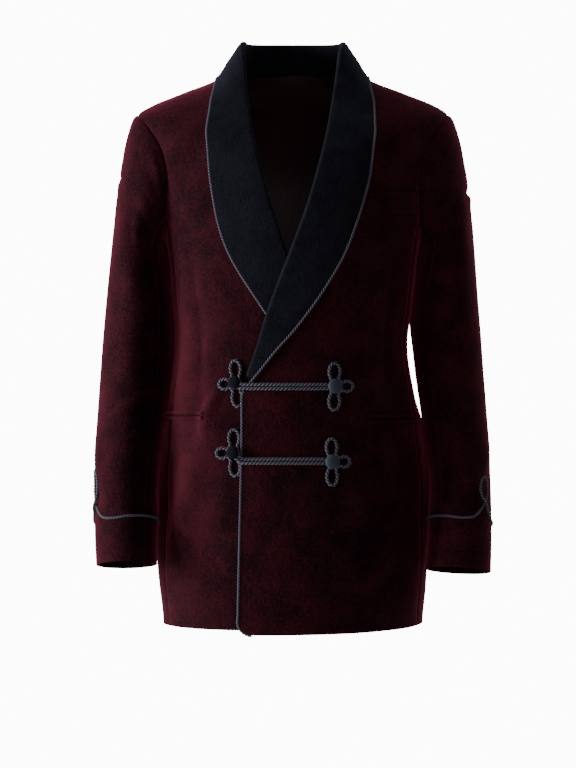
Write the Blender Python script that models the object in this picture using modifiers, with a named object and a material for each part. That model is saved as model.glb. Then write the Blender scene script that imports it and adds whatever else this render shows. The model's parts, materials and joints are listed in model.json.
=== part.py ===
"""Velvet smoking jacket in its worn form: a hollow shell of sewn panels.

Metres, +Z up, front towards -Y, the wearer's left towards +X.
The origin lies midway between the neck ends of the shoulder seams.
Each half is worked out in its own frame, where x grows towards its own side.
"""

import math

import bmesh
import bpy
import numpy as np
from mathutils import Vector


def table(names, *rows):
    """Columns of a size table by name."""
    return dict(zip(names.split(), np.array(rows, float).T))


# Cloth and cord sizes
WALL = 0.0020            # velvet with its canvas
COLLAR_WALL = 0.0020
POCKET_WALL = 0.0014
SEAM_GAP = 0.0003        # between neighbouring panels
LAY_GAP = 0.0009         # between a panel and what lies on it
COLLAR_GAP = 0.0011      # between a panel and the collar on either side of it
EDGE_CORD = 0.0020       # radius of the edging cord
FROG_CORD = 0.0025       # radius of the fastening cord

# Heights up the side line of the form
HEM = -0.790
HEM_UNDER = -0.784       # the front that laps under is a little shorter
SHOULDER = -0.067
NECK = 0.084
HEM_CORNER = 0.018       # radius at the foot of the front edge
BODY_ROWS = np.linspace(-0.735, -0.265, 9)
YOKE_ROWS = np.array((-0.030, 0.010, 0.042, 0.065, NECK))

# Horizontal sections of the body, from the hem to the top of the collar stand
FORM = table(
    "up half_width front back side_z front_z back_z square",
    (-0.790, 0.183, 0.132, 0.129, -0.790, -0.790, -0.790, 2.3),
    (-0.690, 0.188, 0.133, 0.130, -0.690, -0.690, -0.690, 2.3),
    (-0.590, 0.188, 0.131, 0.121, -0.590, -0.590, -0.590, 2.3),
    (-0.490, 0.178, 0.126, 0.107, -0.490, -0.490, -0.490, 2.3),
    (-0.390, 0.164, 0.121, 0.098, -0.390, -0.390, -0.390, 2.3),
    (-0.310, 0.169, 0.125, 0.107, -0.310, -0.310, -0.310, 2.35),
    (-0.235, 0.181, 0.130, 0.119, -0.235, -0.236, -0.234, 2.4),
    (-0.165, 0.197, 0.128, 0.124, -0.165, -0.172, -0.158, 2.35),
    (-0.110, 0.2115, 0.1195, 0.119, -0.110, -0.131, -0.106, 2.2),
    (-0.067, 0.2195, 0.1090, 0.110, -0.065, -0.110, -0.066, 2.1),
    (-0.040, 0.2020, 0.1030, 0.1045, -0.053, -0.099, -0.0515, 2.05),
    (0.010, 0.1560, 0.0970, 0.0935, -0.034, -0.090, -0.030, 2.0),
    (0.084, 0.088, 0.086, 0.076, 0.000, -0.074, 0.006, 2.0),
    (0.130, 0.0725, 0.073, 0.071, 0.036, -0.034, 0.041, 2.0),
)

# How far the lapping front stands off the form
LIFT_LAPEL = 0.0104      # over the lapel that lies under it
LIFT_SKIRT = 0.0038      # over the plain front below
LIFT_FALLS = (-0.530, -0.440)
LIFT_ENDS = (-0.240, -0.060)
LIFT_FULL = 0.082        # across the front, full lift out to here
LIFT_NONE = 0.150        # and none from here on

CORD_HIDDEN = 6          # stations of the under lapel's edge that carry no cord

# Front edge: how far it lies past the centre, at the hem and at the lapel's foot
EDGE_HEM = 0.0742
EDGE_BREAK = 0.0667
EDGE_TURN = 0.030        # run over which the edge turns into the roll line
EDGE_CORD_TOP = -0.4565  # the edge's cord starts under the upper fastening

# Roll line and outer edge of the lapels as seen from the front.
# inside: share of the width turned in behind the roll line.
# bridge: share by which the fall stands off in a straight line over the neck.
LAPEL = {
    "left": table(
        "roll_x roll_z edge_x edge_z inside bridge",
        (-0.0590, -0.437, -0.0535, -0.4385, 0.10, 0.0),
        (-0.0460, -0.398, -0.0265, -0.4025, 0.10, 0.0),
        (-0.0315, -0.348, 0.0088, -0.3595, 0.10, 0.0),
        (-0.0145, -0.300, 0.0374, -0.3182, 0.10, 0.0),
        (0.0048, -0.250, 0.0632, -0.2725, 0.10, 0.0),
        (0.0227, -0.200, 0.0835, -0.2203, 0.12, 0.0),
        (0.0377, -0.148, 0.0998, -0.1685, 0.14, 0.0),
        (0.0508, -0.092, 0.1106, -0.1060, 0.16, 0.2),
        (0.0600, -0.036, 0.1108, -0.0580, 0.24, 0.6),
        (0.0675, 0.018, 0.1048, -0.0200, 0.42, 1.0),
    ),
    "right": table(
        "roll_x roll_z edge_x edge_z inside bridge",
        (-0.0580, -0.462, -0.0480, -0.4625, 0.10, 0.0),
        (-0.0360, -0.408, -0.0110, -0.4165, 0.10, 0.0),
        (-0.0160, -0.352, 0.0225, -0.3670, 0.10, 0.0),
        (0.0012, -0.300, 0.0553, -0.3176, 0.10, 0.0),
        (0.0158, -0.255, 0.0810, -0.2760, 0.10, 0.0),
        (0.0320, -0.205, 0.0998, -0.2270, 0.12, 0.0),
        (0.0476, -0.150, 0.1108, -0.1680, 0.14, 0.0),
        (0.0603, -0.090, 0.1172, -0.1020, 0.16, 0.2),
        (0.0672, -0.035, 0.1128, -0.0560, 0.24, 0.6),
        (0.0710, 0.014, 0.1062, -0.0200, 0.42, 1.0),
    ),
}

# The collar from the side of the neck to the centre back, turn in degrees
NECK_FALL = table(
    "turn roll_up edge_up inside bridge",
    (90.0, 0.130, 0.063, 0.64, 1.0),
    (115.0, 0.130, 0.063, 0.64, 1.0),
    (140.0, 0.130, 0.065, 0.66, 1.0),
    (180.0, 0.130, 0.068, 0.69, 1.0),
)
FALL_BELLY = 0.0004      # the fall's own roundness over the neck
NECK_EASE = 0.0008       # and how much higher it lies there

# Seams of the body, turn in degrees from the centre front
FRONT_SEAM = 74.0
BACK_SEAM = 108.0

# Armhole: an oval on the form, its own turn in degrees from the shoulder point
ARM_MID = -0.1535
ARM_HALF = 0.0865
ARM_FRONT = 22.0
ARM_BACK = 20.0
FORE_SEAM = 180.0 - math.degrees(math.asin((90.0 - FRONT_SEAM) / ARM_FRONT))
HIND_SEAM = 180.0 + math.degrees(math.asin((BACK_SEAM - 90.0) / ARM_BACK))

# Rings of the sleeves, from the upper arm to the cuff
ARM = {
    "left": table(
        "outer inner ahead z half_depth",
        (0.2580, 0.1845, -0.004, -0.255, 0.072),
        (0.2640, 0.1712, -0.010, -0.330, 0.067),
        (0.2705, 0.1750, -0.010, -0.420, 0.061),
        (0.2760, 0.1840, 0.008, -0.505, 0.057),
        (0.2785, 0.1905, 0.026, -0.570, 0.055),
        (0.2780, 0.1890, 0.048, -0.640, 0.052),
        (0.2760, 0.1830, 0.066, -0.706, 0.050),
    ),
    "right": table(
        "outer inner ahead z half_depth",
        (0.2580, 0.1845, -0.004, -0.255, 0.072),
        (0.2660, 0.1727, -0.010, -0.330, 0.067),
        (0.2730, 0.1726, -0.010, -0.420, 0.061),
        (0.2780, 0.1825, 0.008, -0.505, 0.057),
        (0.2800, 0.1880, 0.026, -0.570, 0.055),
        (0.2775, 0.1890, 0.048, -0.640, 0.052),
        (0.2745, 0.1890, 0.065, -0.698, 0.050),
    ),
}
RING_TILT = 0.62         # share of the arm's forward lean that the rings take up

# Soft folds of the body: turn and up of the middle, half sizes, slant, depth
BODY_FOLD = {
    "left": table(
        "turn up wide tall slant depth",
        (52.0, -0.420, 10.0, 0.020, 0.0, -0.0020),
        (92.0, -0.400, 28.0, 0.070, 0.0, -0.0020),
        (92.0, -0.312, 26.0, 0.038, 0.0, 0.0034),
    ),
    "right": table(
        "turn up wide tall slant depth",
        (92.0, -0.395, 28.0, 0.075, 0.0, 0.0042),
        (92.0, -0.316, 26.0, 0.036, 0.0, 0.0032),
        (46.0, -0.500, 6.0, 0.070, 60.0, 0.0030),
        (52.0, -0.420, 10.0, 0.020, 0.0, -0.0020),
    ),
}

# Pockets
WELT_INNER_TOP = np.array((0.1035, -0.1855))
WELT_INNER_FOOT = np.array((0.0950, -0.2125))
WELT_OUTER_TOP = np.array((0.1690, -0.1790))
WELT_OUTER_FOOT = np.array((0.1660, -0.2085))
JET_TURN = {"left": (42.0, 84.0), "right": (50.0, 86.0)}
JET_MOUTH = -0.4900
JET_TALL = 0.0060

# Cuff cord and its knot, as distances round and up from the cuff's edge
KNOT_TURN = {"left": 42.0, "right": 33.0}
CUFF_ROUND = 0.0475      # radius that turns a distance round into an angle
CUFF_LONG = 0.390        # length that turns a distance up into a share of the sleeve
KNOT = table(
    "round up lift",
    (0.1460, 0.062, 0.0),
    (0.1000, 0.062, 0.0),
    (0.0600, 0.062, 0.0),
    (0.0400, 0.065, 0.0),
    (0.0220, 0.074, 0.0),
    (0.0080, 0.085, 0.0),
    (0.0000, 0.0915, 0.0),
    (-0.0070, 0.102, 0.0),
    (-0.0090, 0.115, 0.0),
    (-0.0060, 0.126, 0.0),
    (0.0000, 0.1300, 0.0),
    (0.0060, 0.126, 0.0),
    (0.0090, 0.115, 0.0),
    (0.0070, 0.102, 0.0024),
    (0.0000, 0.0915, 0.0048),
    (-0.0080, 0.085, 0.0024),
    (-0.0220, 0.074, 0.0),
    (-0.0400, 0.065, 0.0),
    (-0.0600, 0.062, 0.0),
    (-0.1000, 0.062, 0.0),
    (-0.1460, 0.062, 0.0),
)

# Frog fastenings: button places seen from the front, and the trefoil's tilt in degrees
FROG = {
    "upper": {"right": (-0.0820, -0.4430), "left": (0.0567, -0.4490), "tilt": 7.0},
    "lower": {"right": (-0.0840, -0.5410), "left": (0.0552, -0.5520), "tilt": -3.0},
}
TREFOIL_BASE = 0.0080
TREFOIL_TALL = 0.0318    # reach of the upper and lower loop
TREFOIL_SIDE = 0.0240    # reach of the side loop
TREFOIL_WIDE = 0.0070    # half width of a loop
BAR_HALF = 0.0029        # half spacing of the two strands of a loop cord
EYE = 0.0062             # radius of the loop cord's eye round the button's neck
EYE_HEIGHT = 0.0089      # of the eye's centre line above the under front
BUTTON_RADIUS = {"left": 0.0100, "right": 0.0088}
BUTTON_FOOT = {"left": 0.0064, "right": 0.0124}
BUTTON_DOME = 0.0058     # height of the button's head
BUTTON_EDGE = 0.0018     # of its widest place
BUTTON_NECK = 0.0026

SIDE = {"left": 1.0, "right": -1.0}


def hermite(start, leave, end, arrive, t):
    """Cubic between two points with given end directions."""
    first = (1 + 2 * t) * (1 - t) ** 2 * start + t * (1 - t) ** 2 * leave
    return first + t * t * (3 - 2 * t) * end + t * t * (t - 1) * arrive


def smooth(at, places, values):
    """Smooth curve through the values of a table column."""
    slopes = np.gradient(values, places)
    k = np.clip(np.searchsorted(places, at) - 1, 0, len(places) - 2)
    step = places[k + 1] - places[k]
    t = (at - places[k]) / step
    return hermite(values[k], slopes[k] * step, values[k + 1], slopes[k + 1] * step, t)


def ease(value, low, high):
    """Soft step from 0 at low to 1 at high."""
    t = np.clip((value - low) / (high - low), 0.0, 1.0)
    return t * t * (3 - 2 * t)


def unit(vector):
    return vector / np.linalg.norm(vector, axis=-1, keepdims=True)


def form(turn, up):
    """Point of the plain body form at a turn from the centre front and a height up the side."""
    row = {name: smooth(up, FORM["up"], FORM[name]) for name in FORM}
    sine, cosine = np.sin(turn), np.cos(turn)
    depth = np.where(cosine > 0, row["front"], row["back"])
    power = row["square"]
    radius = np.abs(sine / row["half_width"]) ** power + np.abs(cosine / depth) ** power
    radius = radius ** (-1 / power)
    end_z = np.where(cosine > 0, row["front_z"], row["back_z"])
    z = row["side_z"] + (end_z - row["side_z"]) * (radius * cosine / depth) ** 2
    return np.stack([radius * sine, -radius * cosine, z], axis=-1)


def normal(surface, first, second):
    """Outward direction of a surface from its two slopes."""
    step = 1e-4
    along_first = surface(first + step, second) - surface(first - step, second)
    along_second = surface(first, second + step) - surface(first, second - step)
    return unit(np.cross(along_first, along_second))


def front_lift(up):
    """Height of the lapping front above the form near the centre."""
    full = LIFT_SKIRT + (LIFT_LAPEL - LIFT_SKIRT) * ease(up, *LIFT_FALLS)
    return full * (1 - ease(up, *LIFT_ENDS))


def face(turn, up, half):
    """Outer face of a half of the body, with its folds and the lapping front's lift."""
    point = form(turn, up)
    off = np.zeros(np.shape(point)[:-1])
    fold = BODY_FOLD[half]
    for k in range(len(fold["up"])):
        rise = (up - fold["up"][k]) / fold["tall"][k]
        middle = fold["turn"][k] + fold["slant"][k] * (up - fold["up"][k])
        round_by = (np.degrees(turn) - middle) / fold["wide"][k]
        off = off + fold["depth"][k] * np.exp(-rise ** 2 - round_by ** 2)
    if half == "left":
        across = 1 - ease(point[..., 0], LIFT_FULL, LIFT_NONE)
        off = off + front_lift(up) * across * (np.cos(turn) > 0)
    return point + normal(form, turn, up) * off[..., None]


def lying(turn, up, half, height):
    """Point at a height above the outer face."""
    def surface(first, second):
        return face(first, second, half)
    return surface(turn, up) + normal(surface, turn, up) * np.asarray(height)[..., None]


def seen(x, z):
    """Turn and height up of the point of the form seen at x, z from the front."""
    x, z = np.broadcast_arrays(np.asarray(x, float), np.asarray(z, float))
    low = np.full(x.shape, FORM["up"][0] - 0.02)
    high = np.full(x.shape, FORM["up"][-1])
    for _ in range(40):
        up = (low + high) / 2
        share = inset(x, up)
        side_z = smooth(up, FORM["up"], FORM["side_z"])
        front_z = smooth(up, FORM["up"], FORM["front_z"])
        below = side_z + (front_z - side_z) * share ** 2 < z
        low = np.where(below, up, low)
        high = np.where(below, high, up)
    return np.arctan2(x, inset(x, up) * smooth(up, FORM["up"], FORM["front"])), up


def inset(x, up):
    """Share of the front depth at a place x across a section."""
    power = smooth(up, FORM["up"], FORM["square"])
    wide = smooth(up, FORM["up"], FORM["half_width"])
    return np.clip(1 - np.abs(x / wide) ** power, 0, 1) ** (1 / power)


def armhole(spin):
    """Turn and height up of the armhole at its own spin: 0 top, 90 front, 180 foot."""
    spin = np.radians(spin)
    wide = np.where(np.sin(spin) > 0, ARM_FRONT, ARM_BACK)
    return np.radians(90.0 - wide * np.sin(spin)), ARM_MID + ARM_HALF * np.cos(spin)


def collar_rows(half, lapel_count, neck_count):
    """Roll line, outer edge, turned-in share and bridge at stations from the foot to the back."""
    lapel = LAPEL[half]
    roll_turn, roll_up = seen(lapel["roll_x"], lapel["roll_z"])
    edge_turn, edge_up = seen(lapel["edge_x"], lapel["edge_z"])
    neck_turn = np.radians(NECK_FALL["turn"])
    columns = {
        "roll_turn": np.append(roll_turn, neck_turn),
        "roll_up": np.append(roll_up, NECK_FALL["roll_up"]),
        "edge_turn": np.append(edge_turn, neck_turn),
        "edge_up": np.append(edge_up, NECK_FALL["edge_up"]),
        "inside": np.append(lapel["inside"], NECK_FALL["inside"]),
        "bridge": np.append(lapel["bridge"], NECK_FALL["bridge"]),
    }
    points = form(columns["edge_turn"], columns["edge_up"])
    run = np.append(0, np.cumsum(np.linalg.norm(np.diff(points, axis=0), axis=1)))
    at = np.concatenate([
        np.linspace(0, run[6], lapel_count + 1), np.linspace(run[6], run[-1], neck_count + 1)[1:]])
    return {name: smooth(at, run, column) for name, column in columns.items()}


def collar_walls(half, fall_columns):
    """Shown and hidden face of a collar half: turned-in stand, fold and fall."""
    row = collar_rows(half, 8, 17)
    row["roll_turn"] = row["roll_turn"] - np.clip(row["roll_turn"] - math.pi + 0.0021, 0, 1)
    row["edge_turn"] = row["edge_turn"] - np.clip(row["edge_turn"] - math.pi + 0.0018, 0, 1)

    def surface(turn, up):
        return face(turn, up, half)

    def at(share):
        turn = row["roll_turn"] + (row["edge_turn"] - row["roll_turn"]) * share
        up = row["roll_up"] + (row["edge_up"] - row["roll_up"]) * share
        return surface(turn, up), normal(surface, turn, up)

    shown, hidden = [], []
    under = WALL + COLLAR_GAP
    over = COLLAR_GAP + COLLAR_WALL
    for part in (1.0, 0.5):
        point, out = at(row["inside"] * part)
        shown.append(point - out * (under + COLLAR_WALL))
        hidden.append(point - out * under)
    roll, out = at(0.0)
    for _ in range(8):
        out[1:-1] = unit(out[:-2] + 2 * out[1:-1] + out[2:])
    away = roll - at(0.15)[0]
    away = unit(away - out * np.sum(away * out, axis=-1, keepdims=True))
    heart = roll - out * WALL / 2
    for bend in np.radians((180.0, 135.0, 90.0, 45.0, 0.0)):
        spoke = out * math.cos(bend) + away * math.sin(bend)
        shown.append(heart + spoke * (WALL / 2 + over))
        hidden.append(heart + spoke * (WALL / 2 + COLLAR_GAP))
    end, end_out = at(1.0)
    start_point = roll + out * over
    end_point = end + end_out * over
    for share in np.linspace(0, 1, fall_columns + 1)[1:]:
        point, lift = at(share)
        hug = point + lift * over
        straight = start_point + (end_point - start_point) * share
        off = np.sum((straight - hug) * lift, axis=-1)
        off = np.maximum(off + FALL_BELLY * math.sin(math.pi * share), 0) + NECK_EASE
        off = off * row["bridge"]
        shown.append(hug + lift * off[:, None])
        hidden.append(hug + lift * (off[:, None] - COLLAR_WALL))
    return np.stack(shown, axis=1), np.stack(hidden, axis=1)


def arm_ring(spin, along, half):
    """Point of the sleeve tube below the upper arm; along runs from 0 there to 1 at the cuff."""
    row = ARM[half]
    places = np.linspace(0, 1, len(row["z"]))

    def middle(at):
        x = smooth(at, places, (row["outer"] + row["inner"]) / 2)
        y = -smooth(at, places, row["ahead"])
        return np.stack([x, y, smooth(at, places, row["z"])], axis=-1)

    down = unit((middle(along + 1e-3) - middle(along - 1e-3)) * np.array((1.0, RING_TILT, 1.0)))
    sideways = unit(np.array([1.0, 0, 0]) - down * down[..., :1])
    ahead = np.cross(down, sideways)
    wide = smooth(along, places, (row["outer"] - row["inner"]) / 2)[..., None]
    deep = smooth(along, places, row["half_depth"])[..., None]
    cosine, sine = np.cos(spin)[..., None], np.sin(spin)[..., None]
    return middle(along) + sideways * wide * cosine + ahead * deep * sine


def sleeve(spin, along, half):
    """Outer face of a sleeve: along 0 at the armhole, 1 at the upper arm, 2 at the cuff."""
    spin, along = np.broadcast_arrays(np.asarray(spin, float), np.asarray(along, float))
    start = form(*armhole(np.degrees(spin)))
    end = arm_ring(spin, np.zeros(spin.shape), half)
    arrive = unit(arm_ring(spin, np.full(spin.shape, 0.01), half) - end)
    reach = np.linalg.norm(end - start, axis=-1, keepdims=True)
    cosine, sine = np.cos(spin), np.sin(spin)
    leave = np.stack(
        [0.31 + 0.19 * sine ** 2, -0.19 * sine, -0.525 + 0.425 * cosine], axis=-1)
    start = start + unit(leave) * SEAM_GAP
    head = np.clip(along, 0, 1)[..., None]
    upper = hermite(start, leave * reach, end, arrive * reach, head)
    lower = arm_ring(spin, np.maximum(along - 1, 0), half)
    return np.where(along[..., None] <= 1, upper, lower)


def sleeve_lying(spin, along, half, height):
    """Point at a height above a sleeve's outer face."""
    def surface(first, second):
        return sleeve(first, second, half)
    step_spin = surface(spin + 1e-3, along) - surface(spin - 1e-3, along)
    step_down = surface(spin, along + 1e-3) - surface(spin, along - 1e-3)
    return surface(spin, along) + unit(np.cross(step_spin, step_down)) * np.asarray(height)[..., None]


def front_edge(up):
    """Place across of the front edge, on the far side of the centre."""
    foot_x, foot = LAPEL["left"]["roll_x"][0], LAPEL["left"]["roll_z"][0]
    straight = -EDGE_HEM - (EDGE_BREAK - EDGE_HEM) * (up - HEM) / (foot - HEM)
    return straight + (foot_x - straight) * ease(up, foot - EDGE_TURN, foot)


def collection():
    made = bpy.data.collections.new("Smoking jacket")
    bpy.context.scene.collection.children.link(made)
    return made


def material(name, colour, roughness):
    made = bpy.data.materials.new(name)
    made.use_nodes = True
    shader = made.node_tree.nodes["Principled BSDF"]
    shader.inputs["Base Color"].default_value = (*colour, 1.0)
    shader.inputs["Roughness"].default_value = roughness
    return made


def add(name, data, look, owner, parent):
    """New object in the jacket's collection."""
    data.materials.append(look)
    made = bpy.data.objects.new(name, data)
    owner.objects.link(made)
    made.parent = parent
    return made


def wall(outer, inner, flip):
    """Mesh of a cloth wall between two point grids, closed round its rim."""
    rows, columns = outer.shape[:2]
    index = np.arange(rows * columns).reshape(rows, columns)
    quads = np.stack([index[:-1, :-1], index[:-1, 1:], index[1:, 1:], index[1:, :-1]], axis=-1)
    quads = quads.reshape(-1, 4)
    rim = np.concatenate([index[0], index[1:, -1], index[-1, -2::-1], index[-2:0:-1, 0]])
    after = np.roll(rim, -1)
    shift = rows * columns
    sides = np.stack([rim + shift, after + shift, after, rim], axis=-1)
    faces = np.concatenate([quads, quads[:, ::-1] + shift, sides])
    if flip:
        faces = faces[:, ::-1]
    mesh = bpy.data.meshes.new("wall")
    points = np.concatenate([outer.reshape(-1, 3), inner.reshape(-1, 3)])
    mesh.from_pydata(points.tolist(), [], faces.tolist())
    return mesh


def mirrored(points, half):
    """Own-frame points in the jacket's frame."""
    return points * np.array([SIDE[half], 1.0, 1.0])


def body_panel(turn, up, half):
    """Wall of a body panel from grids of turn and height up."""
    outer = mirrored(lying(turn, up, half, np.zeros(turn.shape)), half)
    inner = mirrored(lying(turn, up, half, np.full(turn.shape, -WALL)), half)
    return wall(outer, inner, half == "right")


def seam_shift(up):
    """Half a seam gap as an angle round the form."""
    return SEAM_GAP / 2 / smooth(up, FORM["up"], FORM["half_width"])


def front_grid(half):
    """Front: from the front edge and roll line out to the side seam, armhole and shoulder."""
    hem = HEM if half == "left" else HEM_UNDER
    row = collar_rows(half, 30, 50)
    arm_turn, arm_up = armhole(np.linspace(FORE_SEAM, 0, 10))
    low = np.concatenate([hem + np.array((0.0, 0.006, 0.018)), BODY_ROWS])
    high = YOKE_ROWS
    up = np.concatenate([low, arm_up, high])
    outer = np.concatenate([
        np.radians(FRONT_SEAM) - seam_shift(low), arm_turn, np.pi / 2 - seam_shift(high)])
    outer[len(low)] -= seam_shift(arm_up[0])
    outer[len(low) + len(arm_up) - 1] -= seam_shift(arm_up[-1])
    foot = row["roll_up"][0]
    edge = seen(front_edge(up), np.minimum(up, foot))[0]
    roll = np.interp(up, row["roll_up"], row["roll_turn"])
    inner = np.where(up < foot, edge, roll)
    share = np.linspace(0, 1, 12) ** 1.2
    turn = inner[:, None] + (outer - inner)[:, None] * share
    up = np.repeat(up[:, None], len(share), axis=1)
    up = up + (HEM_UNDER - hem) * share ** 2 * np.clip(1 - (up - hem) / 0.05, 0, 1)
    across = (turn - inner[:, None]) * 0.13
    inset_by = np.clip(HEM_CORNER - across, 0, HEM_CORNER)
    raised = HEM_CORNER - np.sqrt(HEM_CORNER ** 2 - inset_by ** 2)
    up = up + raised * np.clip(1 - (up - hem) / 0.07, 0, 1)
    return turn, up


def side_grid():
    """Side body: between the front and the back, up to the foot of the armhole."""
    arm_turn, arm_up = armhole(np.linspace(FORE_SEAM, HIND_SEAM, 8))
    low = np.append(HEM_UNDER, BODY_ROWS)[:, None]
    up = np.concatenate([np.repeat(low, len(arm_up), axis=1), arm_up[None, :]])
    lean = (arm_turn - np.radians(FRONT_SEAM)) / np.radians(BACK_SEAM - FRONT_SEAM)
    shift = seam_shift(up)
    turn = arm_turn + shift * (1 - 2 * lean)
    return turn, up


def back_grid():
    """Back: from the side seam, armhole and shoulder to the centre seam."""
    arm_turn, arm_up = armhole(np.linspace(HIND_SEAM, 360, 8))
    low = np.append(HEM_UNDER, BODY_ROWS)
    high = YOKE_ROWS
    up = np.concatenate([low, arm_up, high])
    outer = np.concatenate([
        np.radians(BACK_SEAM) + seam_shift(low), arm_turn, np.pi / 2 + seam_shift(high)])
    outer[len(low)] += seam_shift(arm_up[0])
    outer[len(low) + len(arm_up) - 1] += seam_shift(arm_up[-1])
    depth = smooth(up, FORM["up"], FORM["back"])
    inner = np.pi - SEAM_GAP / 2 / depth
    share = np.linspace(0, 1, 9)
    turn = outer[:, None] + (inner - outer)[:, None] * share
    return turn, np.repeat(up[:, None], len(share), axis=1)


def sleeve_wall(start, middle, end, columns, half):
    """Wall of a sleeve piece between two seams given as spins in degrees."""
    spins = np.concatenate([
        np.linspace(start, middle, columns[0] + 1), np.linspace(middle, end, columns[1] + 1)[1:]])
    spins = np.radians(spins)
    spins[0] += SEAM_GAP / 2 / 0.055
    spins[-1] -= SEAM_GAP / 2 / 0.055
    along = np.concatenate([np.linspace(0, 1, 8), np.linspace(1, 2, 9)[1:]])
    spin, along = np.meshgrid(spins, along)
    outer = mirrored(sleeve_lying(spin, along, half, np.zeros(spin.shape)), half)
    inner = mirrored(sleeve_lying(spin, along, half, np.full(spin.shape, -WALL)), half)
    return wall(outer, inner, half == "right")


def patch_wall(turn, up, half, thick):
    """Wall of a small piece that lies on the body."""
    outer = mirrored(lying(turn, up, half, np.full(turn.shape, LAY_GAP + thick)), half)
    inner = mirrored(lying(turn, up, half, np.full(turn.shape, LAY_GAP)), half)
    return wall(outer, inner, half == "right")


def cord(points, radius):
    """Round cord along a run of points."""
    curve = bpy.data.curves.new("cord", "CURVE")
    curve.dimensions = "3D"
    curve.bevel_depth = radius
    curve.bevel_resolution = 1
    curve.use_fill_caps = True
    line = curve.splines.new("POLY")
    line.points.add(len(points) - 1)
    line.points.foreach_set("co", np.c_[points, np.ones(len(points))].ravel())
    return curve


def spaced(points, count):
    """Smooth run of evenly spaced points through the given ones."""
    points = np.asarray(points, float)
    run = np.append(0, np.cumsum(np.linalg.norm(np.diff(points, axis=0), axis=1)))
    at = np.linspace(0, run[-1], count)
    return np.stack([smooth(at, run, points[:, k]) for k in range(points.shape[1])], axis=-1)


def collar_edge_run(half, hidden):
    """Cord centres beside a collar half's outer edge, without the stations that lie hidden."""
    row = {name: column[hidden:] for name, column in collar_rows(half, 16, 34).items()}
    edge = face(row["edge_turn"], row["edge_up"], half)
    raised = lying(row["edge_turn"], row["edge_up"], half, np.full(len(edge), EDGE_CORD + LAY_GAP))
    along = np.gradient(edge, axis=0)
    beside = unit(np.cross(raised - edge, along))
    inward = face(row["roll_turn"], row["roll_up"], half) - edge
    beside = beside * -np.sign(np.sum(beside * inward, axis=-1, keepdims=True))
    return mirrored(raised + beside * (EDGE_CORD + 2 * SEAM_GAP), half)


def front_edge_run(count):
    """Cord centres beside the lapping front's edge, round the corner at its foot."""
    straight = np.linspace(EDGE_CORD_TOP, HEM + HEM_CORNER, count)
    off = EDGE_CORD + 2 * SEAM_GAP
    places = [(front_edge(z) - off, z) for z in straight]
    middle = front_edge(HEM) + HEM_CORNER
    for bend in np.radians((20, 40, 60, 80)):
        reach = HEM_CORNER + off
        places.append((middle - reach * math.cos(bend), HEM + HEM_CORNER - reach * math.sin(bend)))
    places = np.array(places)
    turn, up = seen(places[:, 0], places[:, 1])
    return lying(turn, up, "left", np.full(len(places), -WALL / 2))


def cuff_run(half, count):
    """Cord centres round a cuff with the looped knot."""
    run = spaced(np.stack([KNOT["round"], KNOT["up"], KNOT["lift"]], axis=-1), count)
    spin = np.radians(KNOT_TURN[half]) + run[:, 0] / CUFF_ROUND
    height = EDGE_CORD + LAY_GAP + run[:, 2]
    return mirrored(sleeve_lying(spin, 2 - run[:, 1] / CUFF_LONG, half, height), half)


def trefoil_run(side, tilt):
    """Flat centre line of a three-looped knot, opening away from its own side."""
    run = []
    tuck = np.array((-TREFOIL_WIDE * 0.45, TREFOIL_BASE * 0.55))
    run.append(tuck[None])
    for heading, reach in ((90, TREFOIL_TALL), (0, TREFOIL_SIDE), (-90, TREFOIL_TALL)):
        half_long = (reach - TREFOIL_BASE) / 2
        bends = np.radians(np.linspace(48, 312, 12))
        along = TREFOIL_BASE + half_long - half_long * np.cos(bends)
        across = TREFOIL_WIDE * np.sin(bends)
        way = math.radians(heading)
        run.append(np.stack([
            along * math.cos(way) - across * math.sin(way),
            along * math.sin(way) + across * math.cos(way)], axis=-1))
    run.append(tuck[None] * (1, -1))
    run = np.concatenate(run)
    lean = math.radians(tilt)
    x = run[:, 0] * math.cos(lean) - run[:, 1] * math.sin(lean)
    z = run[:, 0] * math.sin(lean) + run[:, 1] * math.cos(lean)
    return np.stack([x * side, z], axis=-1)


def on_front(x, z, half, height):
    """Point at a height above a front, from its place seen from the front."""
    turn, up = seen(np.asarray(x) * SIDE[half], z)
    return mirrored(lying(turn, up, half, height), half)


def loop_cord_run(place):
    """Centre line of a loop cord: out along one strand, round the button's neck and back."""
    (far_x, far_z), (near_x, near_z) = place["right"], place["left"]
    edge_x = -EDGE_BREAK - 0.001
    line_x = np.array((near_x - 0.0085, near_x - 0.045, edge_x + 0.03, edge_x))
    line_z = np.full(4, near_z + 0.001)
    strand = spaced(np.stack([line_x, line_z], axis=-1), 12)
    heading = math.atan2(far_z - line_z[-1], far_x - edge_x)
    around = np.radians(np.linspace(-140, 140, 13))
    eye_x = far_x + EYE * np.cos(heading + around)
    eye_z = far_z + EYE * np.sin(heading + around)
    x = np.concatenate([strand[:, 0], eye_x, strand[::-1, 0]])
    z = np.concatenate([strand[:, 1] + BAR_HALF, eye_z, strand[::-1, 1] - BAR_HALF])
    turn, up = seen(x, z)
    share = ease(x, far_x + EYE, edge_x)
    height = EYE_HEIGHT + (front_lift(up) + FROG_CORD + LAY_GAP - EYE_HEIGHT) * share
    base = form(turn, up)
    return base + normal(form, turn, up) * height[:, None]


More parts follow.
